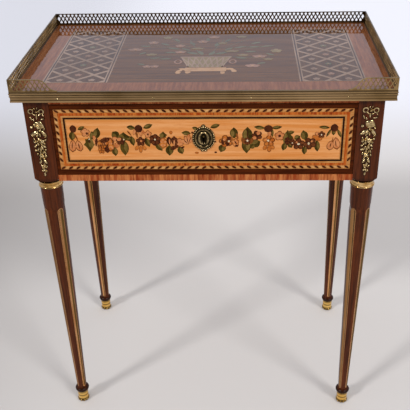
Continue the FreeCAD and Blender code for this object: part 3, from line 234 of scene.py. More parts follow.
def wood(name, look):
    # tones are dark, light and vein; grain is the axis the fibres run along; streak and pore are (length, width) in mm
    tree, shader = newFinish(name)
    place = addNode(tree, "TexCoord").outputs["Object"]
    fibres = {}
    for kind in ("streak", "pore"):
        length, width = look[kind]
        scale = [1000 / (length if axis in look["grain"] else width) for axis in "XYZ"]
        stretch = addNode(tree, "Mapping", {"Scale": scale}, {"Vector": place})
        fibres[kind] = addNode(tree, "TexNoise", grainSet[kind], {"Vector": stretch})
    dark, light, vein = (linear(tone) for tone in look["tones"])
    spread = addNode(tree, "MapRange", grainSet["spread"], {"Value": fibres["streak"]})
    ground = addNode(tree, "Mix", {"data_type": "RGBA", 6: dark, 7: light}, {0: spread})
    fine = addNode(tree, "MapRange", {**grainSet["fine"], "To Max": look["veins"]}, {"Value": fibres["pore"]})
    tone = addNode(tree, "Mix", {"data_type": "RGBA", 7: vein}, {0: fine, 6: ground})
    if "shadeAndDirt" in look:
        tone = soiledAndShaded(tree, place, look, tone)
    relief = addNode(tree, "Bump", {"Strength": grainSet["bump"], "Distance": look["poreDepth"] * mm},
                     {"Height": fibres["pore"]})
    if "ripple" in look:  # hand-rubbed polish that isn't quite flat
        wave = addNode(tree, "TexNoise", {"Scale": 1000 / look["rippleSize"], "Detail": grainSet["waveDetail"]},
                       {"Vector": place})
        relief = addNode(tree, "Bump", {"Strength": 1.0, "Distance": look["ripple"] * mm},
                         {"Height": wave, "Normal": relief})
    wire(tree, shader, {"Roughness": look["roughness"], "IOR": grainSet["ior"], "Specular IOR Level": look["shine"]},
         {"Base Color": tone, "Normal": relief})


def brass(name, look):
    # tones are dull and bright; tarnish lies in soft patches, polish wear in smaller specks (mm)
    tree, shader = newFinish(name)
    coords = addNode(tree, "TexCoord").outputs
    place = coords["Object"]
    patches = addNode(tree, "TexNoise", {**castSet["patches"], "Scale": 1000 / look["patch"]}, {"Vector": place})
    specks = addNode(tree, "TexNoise", {**castSet["specks"], "Scale": 1000 / look["speck"]}, {"Vector": place})
    worn = addNode(tree, "MapRange", castSet["worn"], {"Value": patches})
    dull, bright = (linear(tone) for tone in look["tones"])
    tone = addNode(tree, "Mix", {"data_type": "RGBA", 6: dull, 7: bright}, {0: worn})
    if "shadeAndDirt" in look:
        tone = soiledAndShaded(tree, place, look, tone)
    if "legs" in look:
        tone = fluteShade(tree, coords, look, tone)
    rough = addNode(tree, "MapRange", {"To Min": look["rough"][0], "To Max": look["rough"][1]}, {"Value": specks})
    pitted = addNode(tree, "Bump", {"Strength": castSet["bump"], "Distance": look["pit"] * mm}, {"Height": specks})
    wire(tree, shader, {"Metallic": 1.0}, {"Base Color": tone, "Roughness": rough, "Normal": pitted})


# real pores are 0.1 to 0.3 mm wide; here they are drawn coarse enough to show
waxed = {"streak": (130, 5), "pore": (16, 1.2), "poreDepth": 0.05, "veins": 0.5, "roughness": 0.4, "shine": 0.06}
inlaid = {**waxed, "grain": "XZ", "streak": (14, 4), "pore": (5, 1.2)}
polished = {"grain": "XY", "streak": (150, 6), "pore": (18, 1.4), "poreDepth": 0.01, "veins": 0.4, "roughness": 0.05,
            "shine": 0.5, "ripple": 0.3, "rippleSize": 30}
plainOak = {**waxed, "tones": ("#a87a48", "#c79a66", "#7d5630"), "pore": (14, 1.6), "poreDepth": 0.12, "roughness": 0.6}
woodSet = {
    # mahogany, plain-sawn and waxed, lying flat in the rails: dark red-brown with fine dark pores
    "mahogany rail": {**waxed, "grain": "XY", "tones": ("#301204", "#491f07", "#1d0802"), "shine": 0.03},
    # turned mahogany legs with more polish, so they catch the room along their sides
    "turned mahogany": {**waxed, "grain": "Z", "tones": ("#371706", "#55260d", "#220b02"),
                        "roughness": 0.24, "shine": 0.14, "grimeAndShade": "#150a05",
                        # painted shade at the top of the leg just under the block; darker round the ring of the foot
                        "shadeAndDirt": [(27.0, 0.95), (31.0, 0.92), (34.5, 0.7), (38.0, 0.75), (40.5, 0.0), (572.0, 0.0),
                                 (574.0, 0.6), (580.0, 0.0)]},
    # amaranth banding: dark, close-grained, running round the drawer
    "amaranth": {**waxed, "grain": "X", "tones": ("#321104", "#4f2108", "#200902"), "shine": 0.03},
    # tulipwood laid across: close red and tan stripes at right angles to the band
    "tulipwood crossband": {**waxed, "grain": "Z", "tones": ("#893a19", "#b8703f", "#5c2009"),
                            "streak": (60, 5), "pore": (30, 2.2), "veins": 0.75},
    # the same wood in the drawer's border: coarser streaks, more orange
    "tulipwood streaks": {**waxed, "grain": "Z", "tones": ("#953a0c", "#ba6828", "#591a04"),
                          "streak": (40, 5), "veins": 0.75, "pore": (12, 2.2)},
    # satinwood: pale orange-tan with a soft long figure
    "satinwood": {**waxed, "grain": "X", "tones": ("#c67c3c", "#d6965e", "#b76c31"),
                  "streak": (180, 9), "veins": 0.35, "roughness": 0.36},
    # boxwood lines and strands: even, pale straw
    "boxwood": {**waxed, "grain": "X", "tones": ("#b17b44", "#c59a66", "#9b6834"), "streak": (30, 3), "veins": 0.3},
    # ground of the rope: pear wood, a touch redder than the lines
    "pear": {**waxed, "grain": "X", "tones": ("#a36732", "#b8834b", "#884f22"), "streak": (30, 3), "veins": 0.3},
    # dyed black wood of the fine lines
    "ebonised line": {**waxed, "grain": "X", "tones": ("#170903", "#291206", "#0f0502")},
    # holly dots: the palest wood, left undyed
    "holly": {**inlaid, "tones": ("#c6ac84", "#d7c5a5", "#b2946a")},
    # oak of the drawer box and carcase: pale, coarse open pores, and set crossways in the drawer's front and back
    "oak": {**plainOak, "grain": "Y"}, "oak across": {**plainOak, "grain": "X"},
    # French-polished top: each wood under the same mirror-flat film
    "polished tulipwood": {**polished, "grain": "Y", "tones": ("#713f22", "#8a5534", "#582c12"),
                           # painted shade darkens the border towards the back, by the gallery
                           "streak": (60, 5), "grimeAndShade": "#24140a", "across": "Y",
                           "shadeAndDirt": [(-198.0, 0.0), (146.0, 0.0), (158.0, 0.2), (198.0, 0.35)]},
    "polished rosewood": {**polished, "grain": "X", "tones": ("#4d2c10", "#6a421a", "#371d08")},
    "polished amaranth": {**polished, "grain": "Y", "tones": ("#482b13", "#5d3c20", "#331b0a")},
    "polished ebony": {**polished, "grain": "Y", "tones": ("#412412", "#51311b", "#30180a")},
}
dyeBaths = {  # stained maple of the garland, one dye bath each, browned at the edges by hot sand
    "green": ("#322706", "#514013", "#1f1704"),
    "olive": ("#5d491b", "#7a6130", "#463513"),
    "red": ("#321407", "#4c240f", "#220a04"),
    "brown": ("#61300e", "#834a1f", "#421e07"),
    "pink": ("#b26837", "#c68453", "#944b26"),
    "russet": ("#4c210c", "#6a391a", "#341405"),
    "orange": ("#a3541a", "#ba6f30", "#7c3a10"),
}
underPolish = {  # bits let into the top, faded to soft browns and greys; willow is the basket and pale petals
    "boxwood": ("#7c624e", "#977c69", "#694f3d"),
    "green": ("#55503a", "#67634a", "#454029"),
    "apricot": ("#9b7450", "#b38a65", "#80593a"),
    "willow": ("#6f5b3a", "#846e4a", "#5c4a2c"),
    "cherry": ("#7b5a46", "#957060", "#674836"),
    "holly": ("#7a6050", "#927868", "#684d3e"),
}
for dye, dyeTones in dyeBaths.items():
    woodSet[dye + "-dyed maple"] = {**inlaid, "tones": dyeTones}
for kind, kindTones in underPolish.items():
    woodSet["polished " + kind] = {**polished, "tones": kindTones}
brassSet = {
    # drawn brass edge, lacquer gone olive with age, with painted shade dark along its quirks
    "aged brass": {"tones": ("#8f7248", "#cba87a"), "patch": 240, "speck": 2.5, "rough": (0.26, 0.42),
                   "pit": 0.04, "grimeAndShade": "#3a2a16",
                   "shadeAndDirt": [(734.0, 0.0), (736.6, 0.0), (737.6, 0.9), (738.8, 0.35), (741.6, 0.2), (743.0, 0.95),
                            (744.4, 0.15), (746.0, 0.1), (747.0, 0.95), (748.4, 0.15), (750.2, 0.2), (751.7, 0.95),
                            (753.5, 0.5)]},
    # pierced gallery, darker and duller than the edge, with painted shade darkening it towards the back
    "gallery brass": {"tones": ("#7a623e", "#b89868"), "patch": 30, "speck": 2.5, "rough": (0.28, 0.45),
                      "pit": 0.05, "grimeAndShade": "#241b10", "across": "Y",
                      "shadeAndDirt": [(-198.0, 0.0), (-190.0, 0.0), (-150.0, 0.2), (150.0, 0.35), (198.0, 0.6)]},
    # chased and gilt mounts: pale gold, with painted shade darkening them towards the face they stand on, so the tops
    # look bright
    "gilt bronze": {"tones": ("#93794a", "#efd6a4"), "patch": 4, "speck": 1.2, "rough": (0.16, 0.3),
                    "pit": 0.04, "grimeAndShade": "#2b2010", "across": "Y",
                    "shadeAndDirt": [(-191.0, 0.0), (-189.8, 0.1), (-188.9, 0.7), (-188.0, 1.0)]},
    # collars: deeper gold, turned and polished, with painted shade in the quirk and along the top and bottom edges
    "gilt brass": {"tones": ("#bd8e48", "#f8d090"), "patch": 14, "speck": 1.6, "rough": (0.12, 0.24),
                   "pit": 0.02, "grimeAndShade": "#2e1a08",
                   "shadeAndDirt": [(557.0, 0.85), (558.4, 0.2), (559.4, 0.0), (562.6, 0.05), (564.0, 0.5), (565.4, 0.05),
                            (568.0, 0.1), (569.6, 0.85), (571.0, 1.0)]},
    # the same gold on the feet, darker towards the floor, with painted shade in bands up the cup and under the wooden
    # ring
    "gilt brass foot": {"tones": ("#ebb85c", "#ffd884"), "patch": 40, "speck": 1.6, "rough": (0.12, 0.24),
                        "pit": 0.02, "grimeAndShade": "#20140a",
                        "shadeAndDirt": [(0.0, 1.0), (3.0, 0.9), (7.6, 0.85), (9.2, 0.3), (10.5, 0.0), (14.5, 0.0),
                                 (16.3, 0.75), (18.0, 0.65), (19.5, 0.0), (23.6, 0.0), (25.4, 0.85), (27.0, 0.3),
                                 (29.0, 0.95)]},
    # lobes round the feet, rubbed
    "rubbed brass": {"tones": ("#86632a", "#deb668"), "patch": 6, "speck": 1.6, "rough": (0.14, 0.26), "pit": 0.03},
    # flute linings: rolled sheet, coppery, turned olive by painted shade on one wall and on the left-facing flutes, and
    # darker in their depth
    "flute brass": {"tones": ("#cf8f55", "#f0b57e"), "patch": 90, "speck": 2.0, "rough": (0.18, 0.28), "pit": 0.02,
                    "grimeAndShade": "#54431f", "legs": (292.5, 165.5),
                    "shaft": {"From Min": 39.4 * mm, "To Min": 10.2 * mm, "From Max": 557 * mm, "To Max": 21 * mm},
                    "deep": {"From Min": 0.6 * mm, "From Max": 3.2 * mm, "To Max": 0.6},
                    "shadedWall": {"From Min": 0.15, "From Max": -0.3, "To Max": 0.92},
                    "leftFacingShade": {"From Min": -0.5, "From Max": -0.85, "To Max": 0.65}},
    # key plate: old patina and painted shade make it brown-black in the hollows, darkest towards the drawer face;
    # rubbed on the ribs
    "antique brass": {"tones": ("#6b5733", "#d0b582"), "patch": 4, "speck": 1.0, "rough": (0.16, 0.3),
                      "pit": 0.04, "grimeAndShade": "#17110a", "across": "Y",
                      "shadeAndDirt": [(-190.8, 0.0), (-190.1, 0.2), (-189.4, 0.85), (-188.0, 1.0)]},
    # floor of the keyhole: painted shade, black, so that the hole reads as deep
    "keyhole shade black": {"tones": ("#120d07", "#241b10"), "patch": 5, "speck": 1.0, "rough": (0.3, 0.5), "pit": 0.05},
    # lock works and the ribs of the key plate: dull brown, handled and never polished
    "lock brass": {"tones": ("#4d3c20", "#775f38"), "patch": 12, "speck": 1.5, "rough": (0.3, 0.45), "pit": 0.05},
    # filed steel of the screws and the spring: plain grey
    "steel": {"tones": ("#6f6d6a", "#9a9896"), "patch": 10, "speck": 1.0, "rough": (0.28, 0.42), "pit": 0.04},
}
for finishName, finishLook in woodSet.items():
    wood(finishName, finishLook)
for finishName, finishLook in brassSet.items():
    brass(finishName, finishLook)

nodeFinish = {  # the longest matching start of a node's name wins
    "top_board": "oak", "top_border_veneer": "polished tulipwood", "top_trellis": "polished amaranth",
    "top_centre_veneer": "polished rosewood", "edge_": "aged brass", "gallery_": "gallery brass",
    "brass_pins": "gilt bronze", "leg_": "turned mahogany", "leg_collar": "gilt brass", "foot_": "gilt brass foot",
    "flute_liners": "flute brass", "side_panel": "mahogany rail", "back_panel": "mahogany rail",
    "front_": "mahogany rail", "rail_crossbanding": "tulipwood crossband",
    "drawer_": "oak", "drawer_back": "oak across", "drawer_front": "oak across",
    "drawer_front_banding": "amaranth", "drawer_front_border": "tulipwood streaks",
    "drawer_front_field": "satinwood", "escutcheon": "antique brass", "escutcheon_pins": "gilt bronze",
    "corner_mount": "gilt bronze", "lock_": "lock brass", "tumbler_spring": "steel", "lock_screws": "steel",
    "wood_screws": "steel",
}
for nodeName, node in nodes.items():
    start = max((k for k in nodeFinish if nodeName.startswith(k)), key=len)
    if not node.material_slots:
        node.data.materials.append(None)
    for nodeSlot in node.material_slots:
        nodeSlot.material = finishes[nodeFinish[start]]
print("finishes given to the CAD nodes:", len(finishes))


# Faces that inlay lies in: across, up and out of the surface

faceSet = {"front": -188 * mm, "top": 752 * mm, "side": 313.5 * mm, "back": 186.5 * mm}
frontFace = Matrix(((1, 0, 0, 0), (0, 0, -1, faceSet["front"]), (0, 1, 0, 0), (0, 0, 0, 1)))
topFace = Matrix.Translation((0, 0, faceSet["top"]))
leftFace = Matrix(((0, 0, -1, -faceSet["side"]), (-1, 0, 0, 0), (0, 1, 0, 0), (0, 0, 0, 1)))
rightFace = Matrix(((0, 0, 1, faceSet["side"]), (1, 0, 0, 0), (0, 1, 0, 0), (0, 0, 0, 1)))
backFace = Matrix(((-1, 0, 0, 0), (0, 0, 1, faceSet["back"]), (0, 1, 0, 0), (0, 0, 0, 1)))
veneerSet = {"thick": 0.4, "layer": 0.05, "step": 0.004, "steps": 11}  # mm; bits that lap are never level
castEdge = math.radians(50)  # cast work is smooth up to this bend


def started(add, **settings):
    # a start shape by itself, in edit mode
    bpy.ops.object.select_all(action="DESELECT")
    add(**settings)
    bpy.ops.object.mode_set(mode="EDIT")
    return bpy.context.object


def closed():
    # every face outwards, then back to object mode
    bpy.ops.mesh.select_all(action="SELECT")
    bpy.ops.mesh.normals_make_consistent(inside=False)
    bpy.ops.object.mode_set(mode="OBJECT")


def stretch(x, y, z=1, centre=(0, 0, 0)):
    bpy.ops.transform.resize(value=(x, y, z), center_override=centre)


def pickCorners(test):
    shape = bmesh.from_edit_mesh(bpy.context.object.data)
    for corner in shape.verts:
        corner.select_set(test(corner))
    shape.select_flush_mode()
    bmesh.update_edit_mesh(bpy.context.object.data)


def thicken(depth):
    # the drawn outline becomes a closed leaf of veneer
    bpy.ops.mesh.select_all(action="SELECT")
    bpy.ops.mesh.extrude_region_move(TRANSFORM_OT_translate={"value": (0, 0, -depth)})
    closed()


def cutBit(name, reach, courses=None):
    # a disc cut to an outline, each corner pulled in or out, then stretched to reach 1 each way;
    # courses (rise, size) heap it up for a cast mount, otherwise it becomes a leaf of veneer
    bit = started(bpy.ops.mesh.primitive_circle_add, vertices=len(reach), radius=1, fill_type="NGON")
    bit.name = name + "Bit"
    for step, far in enumerate(reach):
        pickCorners(lambda corner: corner.index == step)
        stretch(far, far)
    corners = [corner.co for corner in bmesh.from_edit_mesh(bit.data).verts]
    wide, tall = (max(abs(corner[axis]) for corner in corners) for axis in (0, 1))
    bpy.ops.mesh.select_all(action="SELECT")
    stretch(1 / wide, 1 / tall)
    if courses is None:
        thicken(1)
        return bit
    for rise, size in courses:
        bpy.ops.mesh.extrude_region_move(TRANSFORM_OT_translate={"value": (0, 0, rise)})
        stretch(size, size)
    closed()
    return bit


def joined(name, copies):
    bpy.ops.object.select_all(action="DESELECT")
    for copy in copies:
        copy.select_set(True)
    bpy.context.view_layer.objects.active = copies[0]
    if len(copies) > 1:
        bpy.ops.object.join()
    piece = bpy.context.object
    piece.name = name
    return piece


def copied(source, matrix):
    copy = source.copy()
    copy.data = source.data.copy()
    copy.data.transform(matrix)
    bpy.context.scene.collection.objects.link(copy)
    return copy


def laid(bit, face, across, up, lift, turn, *half):
    # one copy of a cut bit, in mm and degrees; half its width, height and depth come last
    return copied(bits[bit], face @ Matrix.Translation((across * mm, up * mm, lift * mm))
                  @ Matrix.Rotation(math.radians(turn), 4, "Z") @ Matrix.Diagonal([v * mm for v in half] + [1]))


def settle(piece, finish, body, slot, *replaced):
    piece.data.materials.clear()
    piece.data.materials.append(finishes[finish])
    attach(piece, body)
    if replaced:
        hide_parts(*replaced)


def inlay(name, face, layer, places, finish, body, slot):
    # places: (bit, across, up, half width, half height, turn)
    copies = []
    for number, (bit, across, up, wide, tall, turn) in enumerate(places):
        lift = veneerSet["layer"] * layer + veneerSet["step"] * (number % veneerSet["steps"])
        copies.append(laid(bit, face, across, up, lift, turn, wide, tall, veneerSet["thick"]))
    settle(joined(name, copies), finish, body, slot)


def raised(name, face, lumps, finish, body, slot, *replaced):
    # cast work: (bit, across, up, half width, half height, turn, rise, lift)
    copies = [laid(bit, face, across, up, lift, turn, wide, tall, rise)
              for bit, across, up, wide, tall, turn, rise, lift in lumps]
    piece = joined(name, copies)
    bpy.ops.object.shade_smooth_by_angle(angle=castEdge)
    settle(piece, finish, body, slot, *replaced)


def band(name, face, centre, size, width, layer, finish, body, slot):
    # a rectangular line: a sheet inset and its middle taken out; size is the half size outside
    piece = started(bpy.ops.mesh.primitive_plane_add, size=2)
    piece.name = name
    stretch(size[0] * mm, size[1] * mm)
    bpy.ops.mesh.inset(thickness=width * mm)
    bpy.ops.mesh.delete(type="FACE")
    thicken(veneerSet["thick"] * mm)
    piece.data.transform(face @ Matrix.Translation([v * mm for v in (*centre, veneerSet["layer"] * layer)]))
    settle(piece, finish, body, slot)


def strips(name, face, places, layer):
    # straight lines: (across, up, length, width, turn), each a sheet drawn out and thickened
    copies = []
    for across, up, length, width, turn in places:
        strip = started(bpy.ops.mesh.primitive_plane_add, size=1)
        stretch(length * mm, width * mm)
        thicken(veneerSet["thick"] * mm)
        strip.data.transform(face @ Matrix.Translation((across * mm, up * mm, veneerSet["layer"] * layer * mm))
                             @ Matrix.Rotation(math.radians(turn), 4, "Z"))
        copies.append(strip)
    return joined(name, copies)


# Bits that the inlay and the cast mounts are made of: how far out each corner of the disc is left

leafCut = (1.0, 0.62, 0.46, 0.40, 0.43, 0.55, 0.85, 0.55, 0.43, 0.40, 0.46, 0.62)
flowerCut = (1.0, 0.94, 0.72, 0.94) * 5
petalCut = (1.0, 0.86, 0.66, 0.55, 0.62, 0.8, 0.62, 0.55, 0.66, 0.86)
flatCuts = {
    "leaf": leafCut, "flower": flowerCut, "petal": petalCut, "rose": (1.0, 0.84, 0.97) * 6, "dot": (1.0, 0.94) * 5,
    "vine": (1.0, 0.70, 0.66, 0.86, 0.52, 0.72, 0.50, 0.62, 0.50, 0.72, 0.52, 0.86, 0.66, 0.70),
}
heaped = [(0.35, 0.94), (0.35, 0.72), (0.22, 0.5), (0.08, 0.3)]
castCuts = {
    "leafCast": (leafCut, heaped), "petalCast": (petalCut, heaped), "bead": ((1.0,) * 10, heaped),
    "flowerCast": (flowerCut, [(0.5, 0.9), (0.4, 0.6), (-0.1, 0.4)]),
    "case": ((1.0, 0.76) * 4, [(0.6, 0.95), (0.3, 0.8), (0.1, 0.6)]),
}
loopSet = {"ring": 0.72, "wire": 0.28, "round": 16, "across": 6,
           "knot": -1, "pinchBelow": -0.5, "pinch": 0.5, "thick": 1.6}


def ribbonLoop():
    loop = started(bpy.ops.mesh.primitive_torus_add, major_radius=loopSet["ring"], minor_radius=loopSet["wire"],
                   major_segments=loopSet["round"], minor_segments=loopSet["across"])
    pickCorners(lambda corner: corner.co.y < loopSet["pinchBelow"])  # pinch the loop towards its knot
    stretch(loopSet["pinch"], 1, centre=(0, loopSet["knot"], 0))
    bpy.ops.mesh.select_all(action="SELECT")
    stretch(1, 1, loopSet["thick"])
    bpy.ops.object.mode_set(mode="OBJECT")
    return loop


bits = {name: cutBit(name, cut) for name, cut in flatCuts.items()}
bits.update({name: cutBit(name, cut, courses) for name, (cut, courses) in castCuts.items()})
bits["loop"] = ribbonLoop()
print("bits cut:", len(bits))


# Drawer front: rope border, lines and garland

borderSet = {
    "centre": (0, 658.0), "outside": (263.2, 58.7), "rope": 6.6, "line": 3.2, "black": 3.5, "whole": 18.5, "gleam": 1.6,
    "pitch": 13.7, "dash": (2.1, 5.6), "strand": (1.5, 4.8), "slant": 32,
    "short": 1.6,  # the rope's last bits stop this many half widths short of the corner
}


def drawerBorder():
    wide, tall = borderSet["outside"]
    centre, whole, black, line = (borderSet[k] for k in ("centre", "whole", "black", "line"))
    for name, inner, width, finish, slot in (("ropeGround", 0, borderSet["rope"], "pear", "satinwood"),
                                             ("boxwoodLine", whole - black - line, line, "pear", "satinwood"),
                                             ("blackLine", whole - black, black, "ebonised line", "rosewood"),
                                             ("fieldLine", whole, borderSet["gleam"], "pear", "satinwood")):
        band(name, frontFace, centre, (wide - inner, tall - inner), width, 1, finish, "drawer", slot)
    half, slant = borderSet["rope"] / 2, borderSet["slant"]
    short = borderSet["short"] * half
    along, upright = (round((far - half) / borderSet["pitch"]) for far in (wide, tall))
    rope = {"dash": [], "strand": []}
    for i in range(-2 * along, 2 * along + 1):  # a dark dash, then a lit strand, turn about
        x = i * (wide - short) / along / 2
        kind = "strand" if i % 2 else "dash"
        for side in (-1, 1):
            turn = slant * (1 if x > 0 else -1) * side
            rope[kind].append(("leaf", x, centre[1] + side * (tall - half), *borderSet[kind], turn + 90))
    for i in range(-2 * upright + 2, 2 * upright - 1):
        z = centre[1] + i * (tall - short) / upright / 2
        kind = "strand" if i % 2 else "dash"
        for side in (-1, 1):
            rope[kind].append(("leaf", side * (wide - half), z, *borderSet[kind], -side * slant))
    inlay("ropeShades", frontFace, 2, rope["dash"], "red-dyed maple", "drawer", "rosewood")
    inlay("ropeStrands", frontFace, 2, rope["strand"], "boxwood", "drawer", "satinwood")


